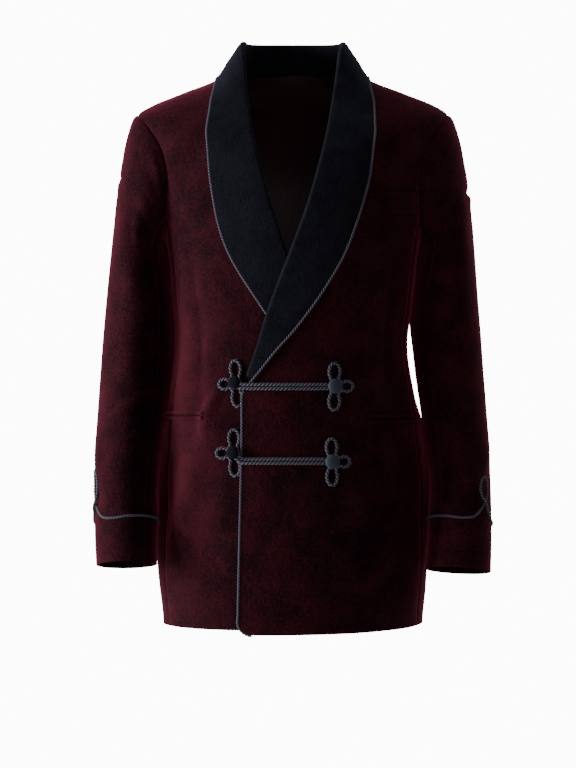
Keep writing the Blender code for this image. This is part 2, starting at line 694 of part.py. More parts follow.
def button(half):
    """Profile of a covered button, turned round its own axis."""
    radius, foot = BUTTON_RADIUS[half], BUTTON_FOOT[half]
    profile = [(0.0, LAY_GAP), (BUTTON_NECK, LAY_GAP), (BUTTON_NECK, foot), (radius * 0.8, foot)]
    waist = foot + BUTTON_EDGE
    for bend in np.radians((-25, 5, 35, 62)):
        height = waist + (BUTTON_DOME - BUTTON_EDGE) * math.sin(bend)
        profile.append((radius * math.cos(bend) ** 0.8, height))
    profile.append((0.0, foot + BUTTON_DOME))
    mesh = bpy.data.meshes.new("button")
    shape = bmesh.new()
    corners = [shape.verts.new((r, 0, z)) for r, z in profile]
    for first, second in zip(corners, corners[1:]):
        shape.edges.new((first, second))
    shape.to_mesh(mesh)
    shape.free()
    return mesh


def turned(made, steps):
    """Screw a profile into a closed solid."""
    screw = made.modifiers.new("turned", "SCREW")
    screw.steps = steps
    screw.render_steps = steps
    screw.use_merge_vertices = True
    screw.merge_threshold = 0.0001
    screw.use_normal_calculate = True


def build():
    for old in list(bpy.data.objects):
        bpy.data.objects.remove(old, do_unlink=True)
    owner = collection()
    root = bpy.data.objects.new("jacket", None)
    owner.objects.link(root)
    velvet = material("Burgundy velvet", (0.045, 0.006, 0.012), 0.8)
    facing = material("Black velvet", (0.008, 0.008, 0.011), 0.8)
    braid = material("Twisted cord", (0.05, 0.05, 0.065), 0.6)
    covered = material("Covered button", (0.09, 0.10, 0.13), 0.6)

    for half in ("left", "right"):
        add(f"front_{half}", body_panel(*front_grid(half), half), velvet, owner, root)
        add(f"side_{half}", body_panel(*side_grid(), half), velvet, owner, root)
        add(f"back_{half}", body_panel(*back_grid(), half), velvet, owner, root)
        top = sleeve_wall(HIND_SEAM - 360, 0, FORE_SEAM, (7, 9), half)
        add(f"sleeve_top_{half}", top, velvet, owner, root)
        under = sleeve_wall(FORE_SEAM, (FORE_SEAM + HIND_SEAM) / 2, HIND_SEAM, (4, 3), half)
        add(f"sleeve_under_{half}", under, velvet, owner, root)
        shown, hidden = collar_walls(half, 5)
        collar = wall(mirrored(shown, half), mirrored(hidden, half), half == "right")
        add(f"collar_{half}", collar, facing, owner, root)

        turns = np.radians(np.linspace(*JET_TURN[half], 10))
        for lip, sign in (("upper", 1), ("lower", -1)):
            edges = sorted((JET_MOUTH + sign * SEAM_GAP, JET_MOUTH + sign * JET_TALL))
            turn, up = np.meshgrid(turns, np.array(edges))
            jet = patch_wall(turn, up, half, POCKET_WALL)
            add(f"hip_pocket_{half}_{lip}", jet, velvet, owner, root)
        add(f"cuff_cord_{half}", cord(cuff_run(half, 64), EDGE_CORD), braid, owner, root)

    across = np.linspace(0, 1, 6)[None, :, None]
    foot = WELT_INNER_FOOT + (WELT_OUTER_FOOT - WELT_INNER_FOOT) * across
    top = WELT_INNER_TOP + (WELT_OUTER_TOP - WELT_INNER_TOP) * across
    welt = foot + (top - foot) * np.linspace(0, 1, 3)[:, None, None]
    welt = patch_wall(*seen(welt[..., 0], welt[..., 1]), "left", POCKET_WALL)
    add("breast_welt", welt, velvet, owner, root)

    edging = np.concatenate([
        collar_edge_run("left", 0)[:-1], collar_edge_run("right", CORD_HIDDEN)[::-1]])
    add("collar_cord", cord(edging, EDGE_CORD), braid, owner, root)
    add("front_edge_cord", cord(front_edge_run(16), EDGE_CORD), braid, owner, root)

    for level, place in FROG.items():
        for half in ("left", "right"):
            x, z = place[half]
            run = trefoil_run(SIDE[half], place["tilt"])
            height = np.full(len(run), FROG_CORD + LAY_GAP)
            points = spaced(on_front(x + run[:, 0], z + run[:, 1], half, height), 44)
            add(f"frog_{level}_trefoil_{half}", cord(points, FROG_CORD), braid, owner, root)
            look = covered if half == "left" else facing
            made = add(f"frog_{level}_button_{half}", button(half), look, owner, root)
            base, tip = on_front(np.array((x, x)), np.array((z, z)), half, np.array((0.0, 0.01)))
            made.location = base
            made.rotation_euler = Vector(tip - base).to_track_quat("Z", "Y").to_euler()
            turned(made, 16)
        add(f"frog_{level}_loop", cord(loop_cord_run(place), FROG_CORD), braid, owner, root)


build()
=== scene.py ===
"""Velvet smoking jacket in its worn form: cloth, cords, buttons and a plain studio.

Metres, +Z up, front towards -Y, the wearer's left towards +X.
Each half is worked out in its own frame, where x grows towards its own side.
"""

import json
import math

import bpy
import numpy as np
from bpy.props import FloatProperty, FloatVectorProperty, PointerProperty
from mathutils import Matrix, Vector

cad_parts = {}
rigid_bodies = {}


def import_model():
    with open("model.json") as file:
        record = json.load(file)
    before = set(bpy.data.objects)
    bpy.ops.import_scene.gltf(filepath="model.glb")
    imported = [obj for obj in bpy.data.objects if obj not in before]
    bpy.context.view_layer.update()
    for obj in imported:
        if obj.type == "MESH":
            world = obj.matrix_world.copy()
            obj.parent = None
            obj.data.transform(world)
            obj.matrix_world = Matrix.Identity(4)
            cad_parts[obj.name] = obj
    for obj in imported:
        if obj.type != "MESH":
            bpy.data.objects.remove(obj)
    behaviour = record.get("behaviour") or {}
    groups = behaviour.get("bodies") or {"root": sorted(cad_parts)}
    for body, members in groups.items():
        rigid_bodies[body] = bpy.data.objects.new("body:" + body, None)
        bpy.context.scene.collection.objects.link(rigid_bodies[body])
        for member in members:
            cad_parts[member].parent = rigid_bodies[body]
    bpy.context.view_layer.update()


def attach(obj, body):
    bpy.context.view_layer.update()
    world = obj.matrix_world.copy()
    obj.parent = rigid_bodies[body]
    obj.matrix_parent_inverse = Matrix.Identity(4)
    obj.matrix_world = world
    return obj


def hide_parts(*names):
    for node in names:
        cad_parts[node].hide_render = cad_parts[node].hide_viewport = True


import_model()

bl_info = {
    "name": "Velvet smoking jacket",
    "version": (1, 0, 0),
    "blender": (4, 5, 0),
    "location": "View3D > Sidebar > Jacket",
    "description": "Cloth, cord and button surfaces of a velvet smoking jacket",
    "category": "Object",
}

IMAGE = (576, 768)
HALVES = ("left", "right")
SIDE = {"left": 1.0, "right": -1.0}


def table(names, *rows):
    """Columns of a size table by name."""
    return dict(zip(names.split(), np.array(rows, float).T))


def linear(code):
    """Linear colour of an sRGB hex value: each channel through the sRGB curve."""
    channels = [int(code[k:k + 2], 16) / 255 for k in (1, 3, 5)]
    return tuple(c / 12.92 if c <= 0.04045 else ((c + 0.055) / 1.055) ** 2.4 for c in channels)


# Gaps and radii of the solids
WALL = 0.0020
COLLAR_WALL = 0.0020
POCKET_WALL = 0.0014
SLEEVE_TUCK = 0.0022     # sleeve cloth turned in under the body's edge at the armhole
SEWN = 0.0001            # how far sewn pieces run into each other, so that no light comes through
LAY_GAP = 0.0009
COLLAR_GAP = 0.0011
EDGE_CORD = 0.0020
FROG_CORD = 0.0025

# Spacing of mesh rows above a hem and near the borders of a piece
HEM_ROWS = np.array((0, 0.0004, 0.001, 0.0018, 0.004, 0.008, 0.012))
CORNER_ROWS = np.array((0, 0.0004, 0.001, 0.0018, 0.004, 0.008, 0.014, 0.022))
EDGE_SHARES = (0.0, 0.0012, 0.0028, 0.005, 0.009)
OUT_STEP = 0.001         # rise by which the way out of a face is found
SPIN_STEP = 1e-3         # step by which a sleeve's slopes are found

# Heights up the side line of the form
HEM = -0.790
HEM_UNDER = -0.784
SHOULDER = -0.067
NECK = 0.084
HEM_CORNER = 0.018
CORNER_ARC = 0.13        # metres for a radian of turn, as the hem corner is drawn
EDGE_ARC = 0.15          # and as the cloth really runs there
SIDE_TOP = -0.265        # where the side body's rows begin to bend to the armhole
LAP_FADE = 0.05          # height over which the lapping hem comes level with the side's
CORNER_FADE = 0.07       # height over which the rows lose the hem corner's round
FACING = 0.075           # velvet turned in along the front edge

# Lengths of cloth that set how many cells a piece has each way
RUN = {
    "armhole": 0.19, "shoulder": 0.16, "front": 0.26, "side": 0.11, "side_seam": 0.50, "back": 0.20,
    "sleeve_top": 0.23, "sleeve_under": 0.10, "sleeve_head": 0.17, "forearm": 0.44,
    "lapel": 0.28, "neck": 0.46,
}

# Horizontal sections of the body, from the hem to the top of the collar stand
FORM = table(
    "up half_width front back side_z front_z back_z square",
    (-0.790, 0.183, 0.132, 0.129, -0.790, -0.790, -0.790, 2.3),
    (-0.690, 0.188, 0.133, 0.130, -0.690, -0.690, -0.690, 2.3),
    (-0.590, 0.188, 0.131, 0.121, -0.590, -0.590, -0.590, 2.3),
    (-0.490, 0.178, 0.126, 0.107, -0.490, -0.490, -0.490, 2.3),
    (-0.390, 0.164, 0.121, 0.098, -0.390, -0.390, -0.390, 2.3),
    (-0.310, 0.169, 0.125, 0.107, -0.310, -0.310, -0.310, 2.35),
    (-0.235, 0.181, 0.130, 0.119, -0.235, -0.236, -0.234, 2.4),
    (-0.165, 0.197, 0.128, 0.124, -0.165, -0.172, -0.158, 2.35),
    (-0.110, 0.2115, 0.1195, 0.119, -0.110, -0.131, -0.106, 2.2),
    (-0.067, 0.2195, 0.1090, 0.110, -0.065, -0.110, -0.066, 2.1),
    (-0.040, 0.2020, 0.1030, 0.1045, -0.053, -0.099, -0.0515, 2.05),
    (0.010, 0.1560, 0.0970, 0.0935, -0.034, -0.090, -0.030, 2.0),
    (0.084, 0.088, 0.086, 0.076, 0.000, -0.074, 0.006, 2.0),
    (0.130, 0.0725, 0.073, 0.071, 0.036, -0.034, 0.041, 2.0),
)

# How far the lapping front stands off the form
LIFT_LAPEL = 0.0104
LIFT_SKIRT = 0.0038
LIFT_FALLS = (-0.530, -0.440)
LIFT_ENDS = (-0.240, -0.060)
LIFT_FULL = 0.082
LIFT_NONE = 0.150

# Front edge
EDGE_HEM = 0.0742
EDGE_BREAK = 0.0667
EDGE_TURN = 0.030
EDGE_CORD_TOP = -0.4565
CORD_HIDDEN = 0.12       # share of the under lapel's edge that carries no cord
CORD_FOOT = (0.0070, 0.0035)    # how far the cord runs on past the foot of the other lapel

# Roll line and outer edge of the lapels as seen from the front
LAPEL = {
    "left": table(
        "roll_x roll_z edge_x edge_z inside bridge",
        (-0.0590, -0.437, -0.0535, -0.4385, 0.10, 0.0),
        (-0.0460, -0.398, -0.0265, -0.4025, 0.10, 0.0),
        (-0.0315, -0.348, 0.0088, -0.3595, 0.10, 0.0),
        (-0.0145, -0.300, 0.0374, -0.3182, 0.10, 0.0),
        (0.0048, -0.250, 0.0632, -0.2725, 0.10, 0.0),
        (0.0227, -0.200, 0.0835, -0.2203, 0.12, 0.0),
        (0.0377, -0.148, 0.0998, -0.1685, 0.14, 0.0),
        (0.0508, -0.092, 0.1106, -0.1060, 0.16, 0.2),
        (0.0600, -0.036, 0.1108, -0.0580, 0.24, 0.6),
        (0.0675, 0.018, 0.1048, -0.0200, 0.42, 1.0),
    ),
    "right": table(
        "roll_x roll_z edge_x edge_z inside bridge",
        (-0.0580, -0.462, -0.0480, -0.4625, 0.10, 0.0),
        (-0.0360, -0.408, -0.0110, -0.4165, 0.10, 0.0),
        (-0.0160, -0.352, 0.0225, -0.3670, 0.10, 0.0),
        (0.0012, -0.300, 0.0553, -0.3176, 0.10, 0.0),
        (0.0158, -0.255, 0.0810, -0.2760, 0.10, 0.0),
        (0.0320, -0.205, 0.0998, -0.2270, 0.12, 0.0),
        (0.0476, -0.150, 0.1108, -0.1680, 0.14, 0.0),
        (0.0603, -0.090, 0.1172, -0.1020, 0.16, 0.2),
        (0.0672, -0.035, 0.1128, -0.0560, 0.24, 0.6),
        (0.0710, 0.014, 0.1062, -0.0200, 0.42, 1.0),
    ),
}
NECK_FALL = table(
    "turn roll_up edge_up inside bridge",
    (90.0, 0.130, 0.063, 0.64, 1.0),
    (115.0, 0.130, 0.063, 0.64, 1.0),
    (140.0, 0.130, 0.065, 0.66, 1.0),
    (180.0, 0.130, 0.068, 0.69, 1.0),
)
FALL_BELLY = 0.0004
NECK_EASE = 0.0008
STAND_LAP = 0.16         # further share by which the stand laps inside the neck edge it is sewn to

# Seams of the body and the armhole oval, turn in degrees from the centre front
FRONT_SEAM = 74.0
BACK_SEAM = 108.0
ARM_MID = -0.1535
ARM_HALF = 0.0865
ARM_FRONT = 22.0
ARM_BACK = 20.0
FORE_SEAM = 180.0 - math.degrees(math.asin((90.0 - FRONT_SEAM) / ARM_FRONT))
HIND_SEAM = 180.0 + math.degrees(math.asin((BACK_SEAM - 90.0) / ARM_BACK))

# Rings of the sleeves, from the upper arm to the cuff
ARM = {
    "left": table(
        "outer inner ahead z half_depth",
        (0.2580, 0.1845, -0.004, -0.255, 0.072),
        (0.2640, 0.1712, -0.010, -0.330, 0.067),
        (0.2705, 0.1750, -0.010, -0.420, 0.061),
        (0.2760, 0.1840, 0.008, -0.505, 0.057),
        (0.2785, 0.1905, 0.026, -0.570, 0.055),
        (0.2780, 0.1890, 0.048, -0.640, 0.052),
        (0.2760, 0.1830, 0.066, -0.706, 0.050),
    ),
    "right": table(
        "outer inner ahead z half_depth",
        (0.2580, 0.1845, -0.004, -0.255, 0.072),
        (0.2660, 0.1727, -0.010, -0.330, 0.067),
        (0.2730, 0.1726, -0.010, -0.420, 0.061),
        (0.2780, 0.1825, 0.008, -0.505, 0.057),
        (0.2800, 0.1880, 0.026, -0.570, 0.055),
        (0.2775, 0.1890, 0.048, -0.640, 0.052),
        (0.2745, 0.1890, 0.065, -0.698, 0.050),
    ),
}
RING_TILT = 0.62

# Soft swells of the body that the solids have too
BODY_FOLD = {
    "left": table(
        "turn up wide tall slant depth",
        (52.0, -0.420, 10.0, 0.020, 0.0, -0.0020),
        (92.0, -0.400, 28.0, 0.070, 0.0, -0.0020),
        (92.0, -0.312, 26.0, 0.038, 0.0, 0.0034),
    ),
    "right": table(
        "turn up wide tall slant depth",
        (92.0, -0.395, 28.0, 0.075, 0.0, 0.0042),
        (92.0, -0.316, 26.0, 0.036, 0.0, 0.0032),
        (46.0, -0.500, 6.0, 0.070, 60.0, 0.0030),
        (52.0, -0.420, 10.0, 0.020, 0.0, -0.0020),
    ),
}

# Further swells, of body and sleeves, that fill the room between them
BODY_FILL = {
    "left": table(
        "turn up wide tall slant depth",
        (86.5, -0.252, 8.0, 0.012, 0.0, 0.0008),
        (94.0, -0.347, 24.0, 0.024, 0.0, 0.0026),
        (94.5, -0.500, 7.0, 0.027, 0.0, 0.0048),
        (95.0, -0.566, 10.0, 0.045, 0.0, 0.0067),
        (93.0, -0.632, 14.0, 0.040, 0.0, 0.0042),
    ),
    "right": table(
        "turn up wide tall slant depth",
        (86.0, -0.252, 8.0, 0.012, 0.0, 0.0010),
        (96.5, -0.494, 5.0, 0.031, 0.0, 0.0041),
        (96.0, -0.575, 11.0, 0.050, 0.0, 0.0036),
        (95.0, -0.684, 14.0, 0.045, 0.0, 0.0052),
    ),
}
SLEEVE_FILL = {
    "left": table(
        "spin along wide tall depth",
        (194.0, 0.600, 30.0, 0.340, 0.0070),
        (202.0, 0.940, 30.0, 0.090, 0.0047),
        (200.0, 1.040, 28.0, 0.070, 0.0040),
        (203.0, 1.215, 26.0, 0.060, 0.0052),
        (188.0, 1.310, 40.0, 0.090, 0.0020),
        (200.0, 1.580, 26.0, 0.090, 0.0010),
    ),
    "right": table(
        "spin along wide tall depth",
        (194.0, 0.600, 30.0, 0.340, 0.0070),
        (202.0, 0.940, 30.0, 0.090, 0.0047),
        (200.0, 1.045, 28.0, 0.075, 0.0047),
        (206.0, 1.265, 24.0, 0.100, 0.0052),
        (206.0, 1.440, 24.0, 0.080, 0.0010),
    ),
}

# Creases of the fronts by their ends as seen from the front: half width, height, sideways bow
FRONT_CREASE = {
    "left": table(
        "x0 z0 x1 z1 wide depth bow",
        (0.140, -0.259, 0.128, -0.478, 0.0075, -0.0013, 0.002),
        (0.140, -0.259, 0.128, -0.478, 0.0012, -0.0009, 0.002),
        (0.075, -0.448, 0.150, -0.412, 0.0090, 0.0014, 0.006),
        (0.080, -0.395, 0.158, -0.372, 0.0110, 0.0012, -0.006),
        (0.070, -0.560, 0.140, -0.700, 0.0240, 0.0022, 0.008),
        (0.120, -0.110, 0.168, -0.165, 0.0120, -0.0014, 0.004),
    ),
    "right": table(
        "x0 z0 x1 z1 wide depth bow",
        (0.1440, -0.259, 0.1290, -0.478, 0.0080, -0.0015, 0.002),
        (0.1440, -0.259, 0.1290, -0.478, 0.0012, -0.0010, 0.002),
        (0.1000, -0.452, 0.1250, -0.524, 0.0085, 0.0040, 0.006),
        (0.1060, -0.490, 0.1640, -0.715, 0.0180, 0.0044, 0.010),
        (0.0920, -0.430, 0.1500, -0.398, 0.0090, 0.0012, -0.005),
        (0.1150, -0.115, 0.1650, -0.172, 0.0130, -0.0016, 0.004),
        (0.1050, -0.350, 0.1220, -0.430, 0.0130, 0.0011, 0.004),
    ),
}

# Creases of the sides and back by turn in degrees and height up
BACK_CREASE = {
    "left": table(
        "turn0 up0 turn1 up1 wide depth bow",
        (104.0, -0.372, 158.0, -0.400, 0.0090, 0.0019, 0.006),
        (118.0, -0.428, 168.0, -0.436, 0.0075, 0.0014, -0.004),
        (110.0, -0.345, 140.0, -0.352, 0.0080, 0.0012, 0.004),
        (116.0, -0.130, 152.0, -0.262, 0.0150, -0.0019, 0.010),
        (136.0, -0.520, 128.0, -0.800, 0.0260, 0.0034, 0.006),
        (162.0, -0.560, 156.0, -0.800, 0.0200, 0.0020, -0.004),
        (122.0, -0.090, 165.0, -0.098, 0.0120, 0.0010, 0.006),
        (84.0, -0.530, 88.0, -0.800, 0.0200, 0.0018, 0.004),
    ),
    "right": table(
        "turn0 up0 turn1 up1 wide depth bow",
        (106.0, -0.384, 165.0, -0.396, 0.0095, 0.0020, 0.007),
        (114.0, -0.352, 150.0, -0.362, 0.0080, 0.0013, -0.004),
        (122.0, -0.436, 160.0, -0.446, 0.0070, 0.0012, 0.004),
        (117.0, -0.120, 148.0, -0.245, 0.0160, -0.0021, 0.011),
        (132.0, -0.540, 124.0, -0.800, 0.0240, 0.0030, 0.005),
        (158.0, -0.540, 160.0, -0.800, 0.0220, 0.0022, 0.005),
        (126.0, -0.085, 160.0, -0.096, 0.0110, 0.0009, 0.005),
        (86.0, -0.560, 82.0, -0.800, 0.0180, 0.0016, -0.004),
    ),
}
ARC = 0.00255            # metres round the body for a degree of turn

# Where the body's fine creases calm down: across from the centre front, beside the arm, at the neck
CALM_CENTRE = (0.03, 0.10)
CALM_ARM = {"turn": 92.0, "wide": 20.0, "up": -0.34, "tall": 0.13, "share": 0.9}
CALM_NECK = (0.0, 0.06)

# Creases of the sleeves: spin in degrees (0 outside, 90 front, 180 inside), and share along
SLEEVE_CREASE = {
    "left": table(
        "spin0 along0 spin1 along1 wide depth bow",
        (-46.0, 0.60, 42.0, 0.66, 0.0085, -0.0026, 0.004),
        (132.0, 1.42, 70.0, 1.470, 0.0060, 0.0018, 0.004),
        (140.0, 1.475, 84.0, 1.545, 0.0065, 0.0015, -0.003),
        (60.0, 1.375, 122.0, 1.365, 0.0070, -0.0016, 0.004),
        (24.0, 1.580, 78.0, 1.760, 0.0120, 0.0014, 0.006),
        (238.0, 1.400, 312.0, 1.440, 0.0070, -0.0020, 0.005),
        (232.0, 1.490, 300.0, 1.500, 0.0065, -0.0016, -0.004),
        (70.0, 0.55, 92.0, 1.080, 0.0120, -0.0016, 0.005),
        (290.0, 0.60, 262.0, 1.120, 0.0130, -0.0017, -0.006),
        (330.0, 1.12, 20.0, 1.260, 0.0140, 0.0012, 0.006),
        (120.0, 1.72, 78.0, 1.830, 0.0090, 0.0012, 0.003),
    ),
    "right": table(
        "spin0 along0 spin1 along1 wide depth bow",
        (-40.0, 0.52, 36.0, 0.58, 0.0100, -0.0014, 0.004),
        (126.0, 1.440, 54.0, 1.500, 0.0070, 0.0017, 0.004),
        (130.0, 1.390, 66.0, 1.400, 0.0060, -0.0017, -0.004),
        (58.0, 1.545, 112.0, 1.520, 0.0070, -0.0014, 0.003),
        (20.0, 1.600, 70.0, 1.790, 0.0125, 0.0015, 0.006),
        (240.0, 1.420, 318.0, 1.450, 0.0075, -0.0021, 0.005),
        (236.0, 1.500, 296.0, 1.530, 0.0060, -0.0015, -0.004),
        (66.0, 0.50, 96.0, 1.100, 0.0130, -0.0018, 0.006),
        (288.0, 0.55, 258.0, 1.080, 0.0130, -0.0016, -0.005),
        (336.0, 1.08, 28.0, 1.280, 0.0140, 0.0013, 0.006),
    ),
}
ARM_ROUND = 0.055        # metres round the sleeve for a radian of spin
ARM_LONG = 0.440         # metres down the sleeve for a unit along
CALM_BODY = 0.92         # share by which a sleeve's creases calm down beside the body
HEAD_ROLL = 0.0010       # height of the soft roll at the sleeve's head

# Painted light and shade on the velvet fronts, placed as seen from the front: a tone above nought is a
# painted highlight where the light falls, as on the waist and skirt, and below nought is painted shade, as
# beside the lapping front edge, beside the sleeves and in the hip pockets' mouths
PAINTED_LIGHT_PATCHES = table(
    "x z wide tall tone",
    (-0.152, -0.430, 0.042, 0.100, 0.11),
    (-0.130, -0.575, 0.045, 0.090, 0.09),
    (-0.090, -0.600, 0.022, 0.200, -0.10),
    (-0.150, -0.215, 0.045, 0.070, -0.05),
    (-0.206, -0.520, 0.034, 0.210, -0.15),
    (-0.196, -0.330, 0.022, 0.130, -0.08),
    (0.090, -0.660, 0.110, 0.130, -0.08),
    (0.020, -0.500, 0.060, 0.160, -0.04),
    (0.178, -0.085, 0.060, 0.035, 0.05),
    (-0.150, -0.4900, 0.034, 0.0016, -0.45),
    (0.140, -0.4945, 0.040, 0.0016, -0.30),
)

# Pockets
WELT_INNER_TOP = np.array((0.1035, -0.1855))
WELT_INNER_FOOT = np.array((0.0950, -0.2125))
WELT_OUTER_TOP = np.array((0.1690, -0.1790))
WELT_OUTER_FOOT = np.array((0.1660, -0.2085))
JET_TURN = {"left": (42.0, 84.0), "right": (50.0, 86.0)}
JET_MOUTH = {"left": -0.4945, "right": -0.4900}
JET_TALL = 0.0060
JET_SLIT = 0.0005        # half the mouth's opening
POCKET_RISE = 1.15       # height of a pocket's cloth above the front, of its own wall
WELT_PUFF = 0.0012
LIP_PUFF = 0.0011
PUFF_SOFT = 0.0012       # distance from a rim over which a puff rises

# Cuff cord and its knot, as distances round and up from the cuff's edge
KNOT_TURN = {"left": 46.0, "right": 25.0}
KNOT_LOOP = {"left": 0.85, "right": 1.10}    # height of the loop above its crossing, of the table's
CUFF_ROUND = 0.0475
CUFF_LONG = 0.390
KNOT = table(
    "round up lift",
    (0.1460, 0.064, 0.0),
    (0.1000, 0.0685, 0.0),
    (0.0600, 0.0675, 0.0),
    (0.0330, 0.0655, 0.0),
    (0.0180, 0.068, 0.0),
    (0.0075, 0.0765, 0.0),
    (0.0000, 0.0850, 0.0),
    (-0.0070, 0.0955, 0.0),
    (-0.0090, 0.1085, 0.0),
    (-0.0060, 0.1195, 0.0),
    (0.0000, 0.1235, 0.0),
    (0.0060, 0.1195, 0.0),
    (0.0090, 0.1085, 0.0),
    (0.0070, 0.0955, 0.0024),
    (0.0000, 0.0850, 0.0048),
    (-0.0080, 0.0765, 0.0008),
    (-0.0200, 0.068, 0.0),
    (-0.0380, 0.0645, 0.0),
    (-0.0600, 0.062, 0.0),
    (-0.1000, 0.062, 0.0),
    (-0.1460, 0.062, 0.0),
)

# Frog fastenings: button places seen from the front, each trefoil's tilt in degrees, the bar's rise
FROG = {
    "upper": {"right": (-0.0772, -0.4455), "left": (0.0545, -0.4500), "tilt": (-4.0, 0.0), "bar": -0.0005},
    "lower": {"right": (-0.0797, -0.5405), "left": (0.0522, -0.5528), "tilt": (-2.0, 1.0), "bar": 0.0010},
}
TREFOIL_BASE = 0.0080
TREFOIL_TALL = 0.0318
TREFOIL_SIDE = 0.0240
TREFOIL_WIDE = 0.0070
BAR_HALF = 0.0027
EYE = 0.0062
EYE_HEIGHT = 0.0089
BUTTON_RADIUS = {"left": 0.0100, "right": 0.0088}
BUTTON_FOOT = {"left": 0.0064, "right": 0.0124}
BUTTON_DOME = 0.0058
BUTTON_EDGE = 0.0018
BUTTON_NECK = 0.0026

# Cords' places: how high they lie above the cloth and how far beside its edge, of their own radius
EDGE_RISE = 1.15
EDGE_BESIDE = 0.9
FRONT_BESIDE = 0.55
CUFF_RISE = 0.3
CUFF_LIFT = 0.75         # share of the knot table's lift
TREFOIL_RISE = 0.85
LOOP_THICK = 1.1         # loop cord's radius, of the frog cord's
EDGE_PITCH = 0.84        # edging cords' twist, of the frog cord's
PLY = 0.60               # radius of a ply, of the cord's

# Lights' places and sizes, and what they are turned to
LIGHTS = {
    "key": ((-3.1, -0.50, -0.15), 1.4),
    "fill": ((0.5, -3.6, 0.9), 2.2),
    "rim": ((2.4, 1.3, 0.6), 1.4),
    "top": ((-0.3, 0.1, 2.0), 1.8),
}
LIGHT_AIM = (0.0, 0.0, -0.38)
CAMERA_X = -0.007
CAMERA_Z = -0.446
SURROUND = 12.0          # strength of the white seen behind the jacket
DIM = 0.18               # and of the even light on it


class JacketSizes(bpy.types.PropertyGroup):
    """Sizes of the finer forms."""

    cell: FloatProperty(
        name="Cell", description="Spacing of the cloth's mesh", default=0.0038, unit="LENGTH")
    crease: FloatProperty(
        name="Creases", description="Share of the creases' listed height", default=1.5,
        subtype="FACTOR")
    ripple: FloatProperty(
        name="Ripple", description="Height of the cloth's slow unevenness", default=0.0007,
        unit="LENGTH")
    seam_dip: FloatProperty(
        name="Seam dip", description="How far the cloth dips into a seam", default=0.0010,
        unit="LENGTH")
    seam_soft: FloatProperty(
        name="Seam softness", description="How far from a seam it starts to dip", default=0.0024,
        unit="LENGTH")
    turn_up: FloatProperty(
        name="Turned-in hem", description="Velvet turned in at hem and cuffs", default=0.032,
        unit="LENGTH")
    pitch: FloatProperty(
        name="Cord pitch", description="Length of one full twist of the cords", default=0.0104,
        unit="LENGTH")


class JacketColours(bpy.types.PropertyGroup):
    """Colours of the cloths and cords."""

    # The two velvet colours are the ends of one ramp, which carries both the pile's random tone and the
    # front's painted light and shade
    velvet: FloatVectorProperty(
        name="Velvet", description="Pile of the jacket", default=linear("#2e0a13"),
        subtype="COLOR", min=0, max=1)
    velvet_deep: FloatVectorProperty(
        name="Deep velvet", description="Pile where it stands away", default=linear("#0e0205"),
        subtype="COLOR", min=0, max=1)
    velvet_sheen: FloatVectorProperty(
        name="Velvet sheen", description="Light off the pile's tips", default=linear("#96384e"),
        subtype="COLOR", min=0, max=1)
    collar: FloatVectorProperty(
        name="Collar", description="Pile of the shawl collar", default=linear("#0f0f16"),
        subtype="COLOR", min=0, max=1)
    collar_sheen: FloatVectorProperty(
        name="Collar sheen", description="Light off the collar's pile", default=linear("#4a5064"),
        subtype="COLOR", min=0, max=1)
    cord: FloatVectorProperty(
        name="Cord", description="Twisted cord", default=linear("#403d48"),
        subtype="COLOR", min=0, max=1)
    button: FloatVectorProperty(
        name="Covered button", description="Cloth of the outer buttons", default=linear("#2c323e"),
        subtype="COLOR", min=0, max=1)
    lining: FloatVectorProperty(
        name="Lining", description="Satin inside", default=linear("#2a0d14"),
        subtype="COLOR", min=0, max=1)


class JacketStage(bpy.types.PropertyGroup):
    """Floor, light and camera."""

    floor_drop: FloatProperty(
        name="Floor", description="Depth of the floor below the shoulders", default=1.47,
        unit="LENGTH")
    floor_radius: FloatProperty(
        name="Floor radius", description="Radius of the round floor", default=3.0, unit="LENGTH")
    distance: FloatProperty(
        name="Distance", description="Camera's distance from the shoulder line", default=3.5,
        unit="LENGTH")
    scale: FloatProperty(
        name="Picture scale", description="Metres for a pixel at the shoulder line",
        default=0.00142, precision=5)
    key: FloatProperty(
        name="Key", description="Power of the large side light", default=262.0, unit="POWER")
    fill: FloatProperty(
        name="Fill", description="Power of the front light", default=23.0, unit="POWER")
    rim: FloatProperty(
        name="Rim", description="Power of the light behind", default=22.0, unit="POWER")
    top: FloatProperty(
        name="Top", description="Power of the overhead light", default=22.0, unit="POWER")


# Curves and surfaces


def hermite(start, leave, end, arrive, t):
    """Cubic between two points with given end directions."""
    first = (1 + 2 * t) * (1 - t) ** 2 * start + t * (1 - t) ** 2 * leave
    return first + t * t * (3 - 2 * t) * end + t * t * (t - 1) * arrive


def smooth(at, places, values):
    """Smooth curve through the values of a table column: a cubic in each step."""
    slopes = np.gradient(values, places)
    k = np.clip(np.searchsorted(places, at) - 1, 0, len(places) - 2)
    step = places[k + 1] - places[k]
    t = (at - places[k]) / step
    return hermite(values[k], slopes[k] * step, values[k + 1], slopes[k + 1] * step, t)


def ease(value, low, high):
    """Soft step from 0 at low to 1 at high, three t squared less two t cubed."""
    t = np.clip((value - low) / (high - low), 0.0, 1.0)
    return t * t * (3 - 2 * t)


def unit(vector):
    """Vectors of length one: each over its own length."""
    return vector / np.linalg.norm(vector, axis=-1, keepdims=True)


def evened(ways, passes):
    """Directions along a run, each evened with its two neighbours, pass by pass."""
    for _ in range(passes):
        ways[1:-1] = unit(ways[:-2] + 2 * ways[1:-1] + ways[2:])
    return ways


def mirrored(points, half):
    """Own-frame points in the jacket's frame."""
    return points * np.array([SIDE[half], 1.0, 1.0])


